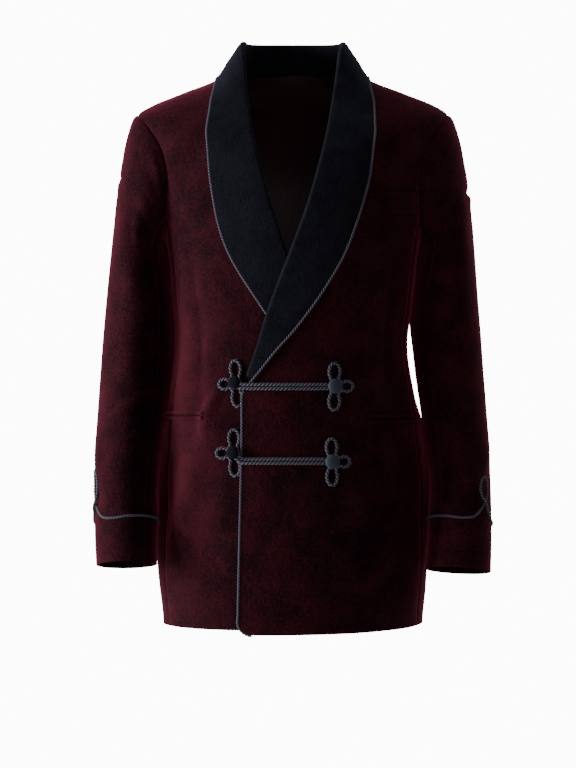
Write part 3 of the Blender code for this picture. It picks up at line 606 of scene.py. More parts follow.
def form(turn, up):
    """Plain body form: at each height a superellipse, rounder or squarer by its power."""
    row = {name: smooth(up, FORM["up"], FORM[name]) for name in FORM}
    sine, cosine = np.sin(turn), np.cos(turn)
    depth = np.where(cosine > 0, row["front"], row["back"])
    power = row["square"]
    radius = np.abs(sine / row["half_width"]) ** power + np.abs(cosine / depth) ** power
    radius = radius ** (-1 / power)
    end_z = np.where(cosine > 0, row["front_z"], row["back_z"])
    z = row["side_z"] + (end_z - row["side_z"]) * (radius * cosine / depth) ** 2
    return np.stack([radius * sine, -radius * cosine, z], axis=-1)


def normal(surface, first, second, step=1e-4):
    """Outward direction of a surface: the cross product of its two slopes."""
    along_first = surface(first + step, second) - surface(first - step, second)
    along_second = surface(first, second + step) - surface(first, second - step)
    return unit(np.cross(along_first, along_second))


def inset(x, up):
    """Share of the front depth at a place x across a section."""
    power = smooth(up, FORM["up"], FORM["square"])
    wide = smooth(up, FORM["up"], FORM["half_width"])
    return np.clip(1 - np.abs(x / wide) ** power, 0, 1) ** (1 / power)


def seen(x, z):
    """Turn and height up of the point of the form seen at x, z from the front, by halving."""
    x, z = np.broadcast_arrays(np.asarray(x, float), np.asarray(z, float))
    low = np.full(x.shape, FORM["up"][0] - 0.02)
    high = np.full(x.shape, FORM["up"][-1])
    for _ in range(40):
        up = (low + high) / 2
        share = inset(x, up)
        side_z = smooth(up, FORM["up"], FORM["side_z"])
        front_z = smooth(up, FORM["up"], FORM["front_z"])
        below = side_z + (front_z - side_z) * share ** 2 < z
        low = np.where(below, up, low)
        high = np.where(below, high, up)
    return np.arctan2(x, inset(x, up) * smooth(up, FORM["up"], FORM["front"])), up


def front_lift(up):
    """Height of the lapping front above the form near the centre."""
    full = LIFT_SKIRT + (LIFT_LAPEL - LIFT_SKIRT) * ease(up, *LIFT_FALLS)
    return full * (1 - ease(up, *LIFT_ENDS))


def crease(u, v, start, end, wide, depth, bow):
    """One crease over a flat map: a soft ridge along a bowed line with a trough beside it.

    Across the line it is a bell less a lower, wider bell; along the line it fades at both ends.
    """
    run = (end[0] - start[0], end[1] - start[1])
    length = math.hypot(*run)
    ahead = (run[0] / length, run[1] / length)
    along = ((u - start[0]) * ahead[0] + (v - start[1]) * ahead[1]) / length
    across = (v - start[1]) * ahead[0] - (u - start[0]) * ahead[1]
    across = (across - bow * 4 * along * (1 - along)) / wide
    fade = ease(along, -0.12, 0.35) * (1 - ease(along, 0.6, 1.12))
    return depth * fade * (np.exp(-across ** 2) - 0.5 * np.exp(-((across - 1.8) / 1.3) ** 2))


def body_creases(half):
    """Creases of a half of the body, their ends on the map of metres round and height up."""
    front, back = FRONT_CREASE[half], BACK_CREASE[half]
    ends = (
        (front, [seen(front[f"x{k}"], front[f"z{k}"]) for k in (0, 1)]),
        (back, [(np.radians(back[f"turn{k}"]), back[f"up{k}"]) for k in (0, 1)]))
    lines = []
    for rows, places in ends:
        starts, stops = (zip(np.degrees(turn) * ARC, up) for turn, up in places)
        lines += zip(starts, stops, rows["wide"], rows["depth"], rows["bow"])
    return lines


BODY_CREASE = {half: body_creases(half) for half in HALVES}


def ripple(u, v, height, shift):
    """Slow unevenness of hung cloth: three crossed waves of unlike lengths."""
    waves = np.sin(u * 71 + v * 23 + shift) * np.sin(v * 31 - u * 17 + 2 * shift)
    waves = waves + 0.6 * np.sin(u * 39 - v * 47 + 3 * shift) + 0.4 * np.sin(v * 83 + u * 29)
    return height * waves


def past_armhole(turn, up):
    """0 on the armhole's oval, where the seam holds the cloth, rising to 1 a little outside it."""
    degrees = np.degrees(turn) - 90.0
    wide = np.where(degrees < 0, ARM_FRONT, ARM_BACK)
    return ease(np.hypot(degrees / wide, (up - ARM_MID) / ARM_HALF), 1.0, 1.32)


def face(turn, up, half):
    """Outer face of a half of the body: the form, its swells, its creases and the lapping lift."""
    sizes = bpy.context.scene.jacket_sizes
    point = form(turn, up)
    off = np.zeros(np.shape(point)[:-1])
    for fold in (BODY_FOLD[half], BODY_FILL[half]):
        for at_turn, at_up, wide, tall, slant, depth in zip(*fold.values()):
            rise = (up - at_up) / tall
            round_by = (np.degrees(turn) - (at_turn + slant * (up - at_up))) / wide
            off = off + depth * np.exp(-rise ** 2 - round_by ** 2)
    u = np.degrees(turn) * ARC
    fine = ripple(u, up, sizes.ripple, 0.7 + SIDE[half])
    for line in BODY_CREASE[half]:
        fine = fine + sizes.crease * crease(u, up, *line)
    away = ease(point[..., 0], *CALM_CENTRE)
    beside = (np.degrees(turn) - CALM_ARM["turn"]) / CALM_ARM["wide"]
    beside_arm = np.exp(-beside ** 2 - ((up - CALM_ARM["up"]) / CALM_ARM["tall"]) ** 2)
    neck = 1 - ease(up, *CALM_NECK)
    off = off + fine * away * (1 - CALM_ARM["share"] * beside_arm) * neck * past_armhole(turn, up)
    if half == "left":
        across = 1 - ease(point[..., 0], LIFT_FULL, LIFT_NONE)
        off = off + front_lift(up) * across * (np.cos(turn) > 0)
    return point + normal(form, turn, up) * off[..., None]


def lying(turn, up, half, height):
    """Point at a height above the outer face."""
    def surface(first, second):
        return face(first, second, half)
    return surface(turn, up) + normal(surface, turn, up) * np.asarray(height)[..., None]


def on_front(x, z, half, height):
    """Point at a height above a front, from its place seen from the front."""
    turn, up = seen(np.asarray(x) * SIDE[half], z)
    return mirrored(lying(turn, up, half, height), half)


def armhole(spin):
    """Turn and height up of the armhole at its own spin: 0 top, 90 front, 180 foot."""
    spin = np.radians(spin)
    wide = np.where(np.sin(spin) > 0, ARM_FRONT, ARM_BACK)
    return np.radians(90.0 - wide * np.sin(spin)), ARM_MID + ARM_HALF * np.cos(spin)


def arm_ring(spin, along, half):
    """Sleeve tube below the upper arm: an ellipse carried down a bent line, 0 there to 1 at the cuff."""
    row = ARM[half]
    places = np.linspace(0, 1, len(row["z"]))

    def middle(at):
        x = smooth(at, places, (row["outer"] + row["inner"]) / 2)
        y = -smooth(at, places, row["ahead"])
        return np.stack([x, y, smooth(at, places, row["z"])], axis=-1)

    down = unit((middle(along + 1e-3) - middle(along - 1e-3)) * np.array((1.0, RING_TILT, 1.0)))
    sideways = unit(np.array([1.0, 0, 0]) - down * down[..., :1])
    ahead = np.cross(down, sideways)
    wide = smooth(along, places, (row["outer"] - row["inner"]) / 2)[..., None]
    deep = smooth(along, places, row["half_depth"])[..., None]
    cosine, sine = np.cos(spin)[..., None], np.sin(spin)[..., None]
    return middle(along) + sideways * wide * cosine + ahead * deep * sine


def sleeve_form(spin, along, half):
    """Plain sleeve: a cubic from the armhole to the upper arm, then the tube down to the cuff."""
    spin, along = np.broadcast_arrays(np.asarray(spin, float), np.asarray(along, float))
    start = form(*armhole(np.degrees(spin)))
    end = arm_ring(spin, np.zeros(spin.shape), half)
    arrive = unit(arm_ring(spin, np.full(spin.shape, 0.01), half) - end)
    reach = np.linalg.norm(end - start, axis=-1, keepdims=True)
    cosine, sine = np.cos(spin), np.sin(spin)
    leave = np.stack(
        [0.31 + 0.19 * sine ** 2, -0.19 * sine, -0.525 + 0.425 * cosine], axis=-1)
    start = start - unit(leave) * SEWN
    head = np.clip(along, 0, 1)[..., None]
    upper = hermite(start, leave * reach, end, arrive * reach, head)
    lower = arm_ring(spin, np.maximum(along - 1, 0), half)
    return np.where(along[..., None] <= 1, upper, lower)


def sleeve(spin, along, half):
    """Outer face of a sleeve with its creases, calm where it hangs beside the body."""
    sizes = bpy.context.scene.jacket_sizes

    def plain(first, second):
        return sleeve_form(first, second, half)

    spin, along = np.broadcast_arrays(np.asarray(spin, float), np.maximum(along, 0.0))
    round_to = (spin + math.radians(60)) % (2 * math.pi) - math.radians(60)
    u, v = round_to * ARM_ROUND, along * ARM_LONG
    off = ripple(spin / (2 * math.pi) * 0.27, v, sizes.ripple, 1.9 + SIDE[half])
    off = off * 0.5 * (1 - np.cos(spin - math.radians(300)))
    for spin0, along0, spin1, along1, wide, depth, bow in zip(*SLEEVE_CREASE[half].values()):
        for lap in (0.0, 360.0):
            start = (math.radians(spin0 - lap) * ARM_ROUND, along0 * ARM_LONG)
            end = (math.radians(spin1 - lap) * ARM_ROUND, along1 * ARM_LONG)
            off = off + sizes.crease * crease(u, v, start, end, wide, depth, bow)
    beside_body = ease(-np.cos(spin), 0.35, 0.85) * (1 - ease(along, 1.42, 1.6))
    off = off * (1 - CALM_BODY * beside_body) * ease(along, 0.0, 0.12)
    off = off + HEAD_ROLL * np.exp(-((along - 0.11) / 0.09) ** 2) * np.clip(np.cos(spin), 0, 1)
    for at_spin, at_along, wide, tall, depth in zip(*SLEEVE_FILL[half].values()):
        round_by = (np.degrees(spin) - at_spin + 180) % 360 - 180
        off = off + depth * np.exp(-(round_by / wide) ** 2 - ((along - at_along) / tall) ** 2)
    return plain(spin, along) + normal(plain, spin, along, SPIN_STEP) * off[..., None]


def sleeve_lying(spin, along, half, height):
    """Point at a height above a sleeve's outer face."""
    def surface(first, second):
        return sleeve(first, second, half)
    out = normal(surface, spin, along, SPIN_STEP)
    return surface(spin, along) + out * np.asarray(height)[..., None]


def stood(surface, *place):
    """Points on a surface at a height, which is the last of place, and the way out of it there."""
    *where, height = place
    points = surface(*where, height)
    return points, unit(surface(*where, height + OUT_STEP) - points)


def front_edge(up):
    """Place across of the front edge, on the far side of the centre."""
    foot_x, foot = LAPEL["left"]["roll_x"][0], LAPEL["left"]["roll_z"][0]
    straight = -EDGE_HEM - (EDGE_BREAK - EDGE_HEM) * (up - HEM) / (foot - HEM)
    return straight + (foot_x - straight) * ease(up, foot - EDGE_TURN, foot)


def run_lengths(points):
    """Length along a run of points, at each of them."""
    return np.append(0, np.cumsum(np.linalg.norm(np.diff(points, axis=0), axis=1)))


def collar_rows(half, lapel_count, neck_count):
    """Roll line, outer edge, turned-in share and bridge at stations from the foot to the back."""
    lapel = LAPEL[half]
    roll_turn, roll_up = seen(lapel["roll_x"], lapel["roll_z"])
    edge_turn, edge_up = seen(lapel["edge_x"], lapel["edge_z"])
    neck_turn = np.radians(NECK_FALL["turn"])
    columns = {
        "roll_turn": np.append(roll_turn, neck_turn),
        "roll_up": np.append(roll_up, NECK_FALL["roll_up"]),
        "edge_turn": np.append(edge_turn, neck_turn),
        "edge_up": np.append(edge_up, NECK_FALL["edge_up"]),
        "inside": np.append(lapel["inside"], NECK_FALL["inside"]),
        "bridge": np.append(lapel["bridge"], NECK_FALL["bridge"]),
    }
    run = run_lengths(form(columns["edge_turn"], columns["edge_up"]))
    at = np.concatenate([
        np.linspace(0, run[6], lapel_count + 1), np.linspace(run[6], run[-1], neck_count + 1)[1:]])
    rows = {name: smooth(at, run, column) for name, column in columns.items()}
    top = run[len(roll_up) - 1]
    low = np.minimum(at, top)
    x, z = (smooth(low, run[:len(roll_up)], lapel[name]) for name in ("roll_x", "roll_z"))
    for name, seen_from_front in zip(("roll_turn", "roll_up"), seen(x, z)):
        rows[name] = np.where(at <= top, seen_from_front, rows[name])
    return rows


# Meshes


def grid_faces(rows, columns):
    """Quads of a grid of points, row by row."""
    index = np.arange(rows * columns).reshape(rows, columns)
    return np.stack(
        [index[:-1, :-1], index[:-1, 1:], index[1:, 1:], index[1:, :-1]], axis=-1).reshape(-1, 4)


def tube_faces(rows, sides):
    """Numbers of a tube's points, those of the next ones round, and the quads between its rings."""
    index = np.arange(rows * sides).reshape(rows, sides)
    after = np.roll(index, -1, axis=1)
    quads = np.stack([index[:-1], after[:-1], after[1:], index[1:]], axis=-1)
    return index, after, quads.reshape(-1, 4)


def merged(parts):
    """Points, faces, UV places and material kinds of several meshes as one."""
    points, faces, uv, kinds = zip(*parts)
    firsts = np.cumsum([0, *(len(part) for part in points[:-1])])
    faces = [np.where(part < 0, -1, part + first) for part, first in zip(faces, firsts)]
    return tuple(np.concatenate(column) for column in (points, faces, uv, kinds))


def piece(name, mesh_parts, nodes, slot, lined=False):
    """Shown object riding the jacket and standing for its solids; a triangle's fourth corner is -1."""
    points, faces, uv, kinds = mesh_parts
    corners = faces[faces >= 0]
    counts = (faces >= 0).sum(axis=1)
    mesh = bpy.data.meshes.new(f"{name}_shown")
    mesh.vertices.add(len(points))
    mesh.vertices.foreach_set("co", points.astype(np.float32).ravel())
    mesh.loops.add(len(corners))
    mesh.loops.foreach_set("vertex_index", corners.astype(np.int32))
    mesh.polygons.add(len(faces))
    mesh.polygons.foreach_set("loop_start", (np.cumsum(counts) - counts).astype(np.int32))
    mesh.polygons.foreach_set("use_smooth", np.ones(len(faces), bool))
    mesh.polygons.foreach_set("material_index", kinds.astype(np.int32))
    layer = mesh.uv_layers.new(name="cut")
    layer.data.foreach_set("uv", uv[corners].astype(np.float32).ravel())
    if slot == "velvet":
        # Velvet pieces carry the front's painted light and shade as a point attribute
        nap = mesh.attributes.new("nap", "FLOAT", "POINT")
        nap.data.foreach_set("value", painted_light_at(points).astype(np.float32))
    for part in (slot, "lining") if lined else (slot,):
        mesh.materials.append(material_of(part))
    mesh.validate()
    mesh.update()
    made = bpy.data.objects.new(f"{name}_shown", mesh)
    bpy.context.scene.collection.objects.link(made)
    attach(made, "root")
    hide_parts(*nodes)
    return made


def painted_light_at(points):
    """Painted light and shade at points of the front: listed bells over the front's map."""
    light = np.zeros(len(points))
    for x, z, wide, tall, tone in zip(*PAINTED_LIGHT_PATCHES.values()):
        light = light + tone * np.exp(-((points[:, 0] - x) / wide) ** 2 - ((points[:, 2] - z) / tall) ** 2)
    return light * (1 - ease(points[:, 1], -0.02, 0.06))


def reaches(points):
    """Distance of each grid point from the grid's left, right, low and high border."""
    across = np.linalg.norm(np.diff(points, axis=1), axis=-1)
    left = np.concatenate([np.zeros((len(points), 1)), np.cumsum(across, axis=1)], axis=1)
    upward = np.linalg.norm(np.diff(points, axis=0), axis=-1)
    low = np.concatenate([np.zeros((1, points.shape[1])), np.cumsum(upward, axis=0)], axis=0)
    return {"left": left, "right": left[:, -1:] - left, "low": low, "high": low[-1:] - low}


def rolled(distance, radius):
    """Drop of a quarter-round edge at a distance from the border."""
    t = np.clip(1 - distance / radius, 0, 1)
    return radius * (1 - np.sqrt(1 - t * t))


def cloth(base, out, half, seams, edges, inside, thick=WALL, puff=0.0, dip_share=1.0):
    """Mesh of a cloth wall from a grid of outer points and their directions.

    The outer face dips in a bell along seams and is quarter-round along free edges; the inner
    face lies one thickness below. inside marks the inner points that show lining.
    """
    sizes = bpy.context.scene.jacket_sizes
    far = reaches(base)
    dip = np.zeros(base.shape[:2])
    for border in seams:
        bell = np.exp(-(far[border] / sizes.seam_soft) ** 2)
        dip = np.maximum(dip, sizes.seam_dip * dip_share * bell)
    rim = np.full(base.shape[:2], 1.0)
    for border in edges:
        rim = np.minimum(rim, far[border])
    bend = rolled(rim, thick / 2)
    swell = puff * np.clip(1 - np.exp(-rim / PUFF_SOFT), 0, 1)
    outer = base + out * (swell - np.maximum(dip, bend))[..., None]
    inner = base - out * (thick - bend)[..., None]
    rows, columns = base.shape[:2]
    count = rows * columns
    quads = grid_faces(rows, columns)
    index = np.arange(count).reshape(rows, columns)
    ring = np.concatenate([index[0], index[1:, -1], index[-1, -2::-1], index[-2:0:-1, 0]])
    after = np.roll(ring, -1)
    sides = np.stack([ring + count, after + count, after, ring], axis=-1)
    faces = np.concatenate([quads, quads[:, ::-1] + count, sides])
    if half == "right":
        faces = faces[:, ::-1]
    lined = inside.ravel()[quads].all(axis=1).astype(int)
    kinds = np.concatenate([np.zeros(len(quads), int), lined, np.zeros(len(sides), int)])
    points = mirrored(np.concatenate([outer.reshape(-1, 3), inner.reshape(-1, 3)]), half)
    uv = np.stack([far["left"], far["low"]], axis=-1).reshape(-1, 2)
    return points, faces, np.concatenate([uv, uv]), kinds


def sewn(cut, half, base, out, seams, edges, inside):
    """Lined cloth piece of a half, named for its cut, from its grid of outer points and their directions.
    """
    name = f"{cut}_{half}"
    made = piece(name, cloth(base, out, half, seams, edges, inside), [name], "velvet", lined=True)


def spread(count, near):
    """Shares from 0 to 1, even in the middle and close together near both ends."""
    near = np.array(near)
    return np.concatenate([near, np.linspace(near[-1], 1 - near[-1], count + 2)[1:-1], 1 - near[::-1]])


def steps(length):
    """Cells for a length of cloth."""
    return max(4, round(length / bpy.context.scene.jacket_sizes.cell))


def seam_lap(up, column="half_width"):
    """Turn by which an edge runs into the piece it is sewn to: the lap over the section's radius."""
    return SEWN / smooth(up, FORM["up"], FORM[column])


def outer_border(hem, near, spins, seam):
    """Turn and height up along a panel's outer border: side seam, armhole and shoulder.

    near lists the first rows' heights above the hem; the armhole is given by its spins.
    """
    arm_turn, arm_up = armhole(spins)
    body = np.linspace(hem + near[-1], arm_up[0], steps(arm_up[0] - hem))[:-1]
    low = np.concatenate([hem + near[:-1], body])
    high = np.linspace(SHOULDER, NECK, steps(RUN["shoulder"]))[1:]
    turn = [np.full(len(low), math.radians(seam)), arm_turn, np.full(len(high), math.pi / 2)]
    return np.concatenate(turn), np.concatenate([low, arm_up, high])


def run_frame(points, out, pitch, part):
    """Even stations along a run with the direction out of the cloth at each."""
    run = run_lengths(points)
    at = np.linspace(0, run[-1], max(8, int(run[-1] / pitch * part)))
    centre = np.stack([smooth(at, run, points[:, k]) for k in range(3)], axis=-1)
    facing = np.stack([np.interp(at, run, out[:, k]) for k in range(3)], axis=-1)
    ahead = unit(np.gradient(centre, axis=0))
    beside = unit(np.cross(ahead, facing))
    return at, centre, beside, np.cross(beside, ahead)


def twisted_cord(name, points, out, radius, pitch):
    """Twisted cord: two plies wound as helices round a run, each a six-sided tube on its helix.

    The real cord has finer plies; these are as coarse as they must be to show.
    """
    plies, sides = 2, 6
    at, centre, beside, facing = run_frame(points, out, pitch, 12)
    strand = radius * PLY
    offset = radius - strand
    around = np.linspace(0, 2 * math.pi, sides, endpoint=False)
    index, _, quads = tube_faces(len(at), sides)
    caps = np.concatenate([index[0][[[0, 5, 4, 3], [0, 3, 2, 1]]], index[-1][[[0, 1, 2, 3], [0, 3, 4, 5]]]])
    faces = np.concatenate([quads, caps])
    # Share across a ply, 1 on its crest and 0 in the furrow, which the cord's material turns into painted
    # highlight and painted shade
    painted_crest_light = 0.5 + 0.5 * np.cos(around)
    uv = np.stack(np.broadcast_arrays(at[:, None], painted_crest_light), axis=-1).reshape(-1, 2)
    tubes = []
    for k in range(plies):
        phase = (2 * math.pi * (k / plies - at / pitch))[:, None]
        spoke = facing * np.cos(phase) + beside * np.sin(phase)
        middle = centre + spoke * offset
        ahead = unit(np.gradient(middle, axis=0))
        across = unit(np.cross(ahead, spoke))
        upright = np.cross(across, ahead)
        ring = upright[:, None] * np.cos(around)[:, None] + across[:, None] * np.sin(around)[:, None]
        tube = (middle[:, None] + ring * strand).reshape(-1, 3)
        tubes.append((tube, faces, uv, np.zeros(len(faces), int)))
    return piece(name, merged(tubes), [name], "cord")


def spaced(points, count):
    """Smooth run of evenly spaced points through the given ones."""
    points = np.asarray(points, float)
    run = run_lengths(points)
    at = np.linspace(0, run[-1], count)
    return np.stack([smooth(at, run, points[:, k]) for k in range(points.shape[1])], axis=-1)


# Materials


def add_node(tree, kind, settings, **inputs):
    """New shader node with its settings; an input is a value or another node's socket."""
    made = tree.nodes.new(kind)
    for key, value in settings.items():
        setattr(made, key, value)
    for key, value in inputs.items():
        socket = made.inputs[key.replace("_", " ")]
        if isinstance(value, bpy.types.NodeSocket):
            tree.links.new(value, socket)
        else:
            socket.default_value = value
    return made


def times(colour, factor):
    """Colour made lighter or darker by a factor."""
    return tuple(factor * channel for channel in colour)


def shaded(tree, shader, ramp, ends, bump=None, **values):
    """Joins a two-ended ramp and a bump to the shader, and sets constants on its own sockets."""
    for element, (place, colour) in zip(ramp.color_ramp.elements, ends):
        element.position = place
        element.color = (*colour, 1)
    tree.links.new(ramp.outputs["Color"], shader.inputs["Base Color"])
    if bump:
        tree.links.new(bump.outputs["Normal"], shader.inputs["Normal"])
    for key, value in values.items():
        shader.inputs[key.replace("_", " ")].default_value = value


def sheared_pile(tree, patch, uneven, soft, depth):
    """Way the pile leans, patch by patch and mixed with its grain, and the bump of both.

    The grain is drawn at 3.2 mm, coarser than the real 0.3 mm, so that it shows.
    """
    where = add_node(tree, "ShaderNodeTexCoord", {})
    lean = add_node(
        tree, "ShaderNodeTexNoise", {}, Vector=where.outputs["Object"], Scale=1 / patch, Detail=3.0,
        Roughness=uneven)
    grain = add_node(
        tree, "ShaderNodeTexNoise", {}, Vector=where.outputs["Object"], Scale=1 / 0.0032, Detail=3.0)
    both = add_node(
        tree, "ShaderNodeMix", {"data_type": "FLOAT"}, Factor=0.55, A=lean.outputs["Fac"],
        B=grain.outputs["Fac"])
    patches = add_node(
        tree, "ShaderNodeBump", {}, Strength=soft, Distance=depth, Height=lean.outputs["Fac"])
    bump = add_node(
        tree, "ShaderNodeBump", {}, Strength=0.60, Distance=0.0016, Height=grain.outputs["Fac"],
        Normal=patches.outputs["Normal"])
    return both.outputs["Result"], bump


def burgundy_velvet(tree, shader, colours):
    """Cotton velvet, woven and sheared: dark face on, light off the pile's tips at a slant.

    Patches where the pile leans another way are about 35 mm across; the front's point attribute adds
    painted light and shade on top of them.
    """
    lean, bump = sheared_pile(tree, 0.035, 0.55, 0.40, 0.005)
    # Painted light and shade of the front, read from its point attribute and added to the pile's lean
    nap = add_node(tree, "ShaderNodeAttribute", {"attribute_name": "nap"})
    pile_lean_and_painted_light = add_node(tree, "ShaderNodeMath", {"operation": "ADD"})
    tree.links.new(lean, pile_lean_and_painted_light.inputs[0])
    tree.links.new(nap.outputs["Fac"], pile_lean_and_painted_light.inputs[1])
    ramp = add_node(tree, "ShaderNodeValToRGB", {}, Fac=pile_lean_and_painted_light.outputs["Value"])
    shaded(
        tree, shader, ramp, ((0.36, colours.velvet_deep), (0.64, colours.velvet)), bump,
        Roughness=0.9, Specular_IOR_Level=0.045, Sheen_Weight=0.85, Sheen_Roughness=0.34,
        Sheen_Tint=(*colours.velvet_sheen, 1))


def black_velvet(tree, shader, colours):
    """Black velvet of the collar: near black face on, a cool light off its pile at a slant.

    Its patches are about 22 mm across.
    """
    lean, bump = sheared_pile(tree, 0.022, 0.5, 0.25, 0.003)
    ramp = add_node(tree, "ShaderNodeValToRGB", {}, Fac=lean)
    shaded(
        tree, shader, ramp, ((0.35, times(colours.collar, 0.5)), (0.68, times(colours.collar, 1.5))), bump,
        Roughness=0.9, Specular_IOR_Level=0.06, Sheen_Weight=0.5, Sheen_Roughness=0.36,
        Sheen_Tint=(*colours.collar_sheen, 1))


def twisted_rayon(tree, shader, colours):
    """Twisted rayon cord: base colour with a painted highlight along each ply's crest and painted shade in
    the furrows between plies, under the shader's own soft shine.

    UV runs along the cord in metres and, across a ply, from 0 in the furrow to 1 on the crest.
    Fibres are drawn about 11 mm long, coarser than real ones, so that they show.
    """
    where = add_node(tree, "ShaderNodeTexCoord", {})
    threads = add_node(
        tree, "ShaderNodeMapping", {}, Vector=where.outputs["UV"], Scale=(90.0, 14.0, 1.0))
    fibre = add_node(
        tree, "ShaderNodeTexNoise", {}, Vector=threads.outputs["Vector"], Scale=1.0, Detail=2.0)
    place = add_node(tree, "ShaderNodeSeparateXYZ", {}, Vector=where.outputs["UV"])
    both = add_node(
        tree, "ShaderNodeMix", {"data_type": "FLOAT"}, Factor=0.22, A=place.outputs["Y"],
        B=fibre.outputs["Fac"])
    # Painted light: dark base colour in the furrows for their shade, light on the crests
    ramp = add_node(tree, "ShaderNodeValToRGB", {}, Fac=both.outputs["Result"])
    bump = add_node(
        tree, "ShaderNodeBump", {}, Strength=0.3, Distance=0.0003, Height=fibre.outputs["Fac"])
    shaded(
        tree, shader, ramp, ((0.55, times(colours.cord, 0.30)), (0.88, times(colours.cord, 1.5))), bump,
        Roughness=0.5, Specular_IOR_Level=0.10, Sheen_Weight=0.05, Sheen_Roughness=0.4,
        Sheen_Tint=(*linear("#9a9db0"), 1))


def button_cloth(tree, shader, colours):
    """Plain weave drawn tight over a mould, threads 0.7 mm apart so that they show."""
    where = add_node(tree, "ShaderNodeTexCoord", {})
    weave = add_node(tree, "ShaderNodeMath", {"operation": "MULTIPLY"})
    for way, socket in zip("XZ", weave.inputs):
        threads = add_node(
            tree, "ShaderNodeTexWave", {"bands_direction": way}, Vector=where.outputs["Object"],
            Scale=0.314 / 0.0007, Distortion=0.6)
        tree.links.new(threads.outputs["Fac"], socket)
    ramp = add_node(tree, "ShaderNodeValToRGB", {}, Fac=weave.outputs["Value"])
    bump = add_node(
        tree, "ShaderNodeBump", {}, Strength=0.4, Distance=0.0003, Height=weave.outputs["Value"])
    shaded(
        tree, shader, ramp, ((0.0, times(colours.button, 0.6)), (1.0, times(colours.button, 1.35))), bump,
        Roughness=0.6, Specular_IOR_Level=0.15, Sheen_Weight=0.1, Sheen_Roughness=0.4)


def satin_lining(tree, shader, colours):
    """Satin lining: smooth threads with a long soft shine, fine ribs 1.2 mm apart so that they show."""
    where = add_node(tree, "ShaderNodeTexCoord", {})
    threads = add_node(
        tree, "ShaderNodeMapping", {}, Vector=where.outputs["UV"],
        Scale=(1 / 0.0012, 1 / 0.03, 1.0))
    rib = add_node(
        tree, "ShaderNodeTexNoise", {}, Vector=threads.outputs["Vector"], Scale=1.0, Detail=2.0)
    ramp = add_node(tree, "ShaderNodeValToRGB", {}, Fac=rib.outputs["Fac"])
    bump = add_node(
        tree, "ShaderNodeBump", {}, Strength=0.15, Distance=0.0003, Height=rib.outputs["Fac"])
    shaded(
        tree, shader, ramp, ((0.3, times(colours.lining, 0.7)), (0.7, times(colours.lining, 1.25))), bump,
        Roughness=0.42, Specular_IOR_Level=0.16, Anisotropic=0.5)


def painted_floor(tree, shader, colours):
    """Painted studio floor: pale, matt, with a faint unevenness 0.3 m across."""
    where = add_node(tree, "ShaderNodeTexCoord", {})
    patch = add_node(
        tree, "ShaderNodeTexNoise", {}, Vector=where.outputs["Object"], Scale=1 / 0.3, Detail=2.0)
    ramp = add_node(tree, "ShaderNodeValToRGB", {}, Fac=patch.outputs["Fac"])
    shaded(
        tree, shader, ramp, ((0.0, linear("#dcdad6")), (1.0, linear("#e4e2de"))), Roughness=0.8,
        Specular_IOR_Level=0.2)


MATERIALS = {
    "velvet": ("Burgundy cotton velvet", burgundy_velvet),
    "collar_velvet": ("Black cotton velvet", black_velvet),
    "cord": ("Twisted rayon cord", twisted_rayon),
    "covered_button": ("Covered button cloth", button_cloth),
    "lining": ("Satin lining", satin_lining),
    "floor": ("Pale painted floor", painted_floor),
}


def material_of(part):
    """Material of a slot, the lining or the floor, built on first use."""
    name, build = MATERIALS[part]
    made = bpy.data.materials.get(name)
    if made is None:
        made = bpy.data.materials.new(name)
        made.use_nodes = True
        tree = made.node_tree
        build(tree, tree.nodes["Principled BSDF"], bpy.context.scene.jacket_colours)
    return made


# Pieces


class JACKET_OT_fronts(bpy.types.Operator):
    """Fronts, from the front edge and roll line out to the side seam, armhole and shoulder"""

    bl_idname = "jacket.fronts"
    bl_label = "Fronts"

    def execute(self, context):
        sizes = context.scene.jacket_sizes
        for half in HALVES:
            hem = HEM if half == "left" else HEM_UNDER
            row = collar_rows(half, 120, 200)
            spins = np.linspace(FORE_SEAM, 0, steps(RUN["armhole"]))
            outer, up = outer_border(hem, CORNER_ROWS, spins, FRONT_SEAM)
            foot = row["roll_up"][0]
            edge = seen(front_edge(up), np.minimum(up, foot))[0]
            inner = np.where(up < foot, edge, np.interp(up, row["roll_up"], row["roll_turn"]))
            share = spread(steps(RUN["front"]), EDGE_SHARES)
            turn = inner[:, None] + (outer + seam_lap(up) - inner)[:, None] * share
            up = np.repeat(up[:, None], len(share), axis=1)
            up = up + (HEM_UNDER - hem) * share ** 2 * np.clip(1 - (up - hem) / LAP_FADE, 0, 1)
            across = (turn - inner[:, None]) * CORNER_ARC
            inset_by = np.clip(HEM_CORNER - across, 0, HEM_CORNER)
            raised = HEM_CORNER - np.sqrt(HEM_CORNER ** 2 - inset_by ** 2)
            up = up + raised * np.clip(1 - (up - hem) / CORNER_FADE, 0, 1)
            base, out = stood(lying, turn, up, half, np.zeros(turn.shape))
            inside = (up > hem + sizes.turn_up) & (across > FACING)
            sewn("front", half, base, out, ("right",), ("left", "low"), inside)
        return {"FINISHED"}


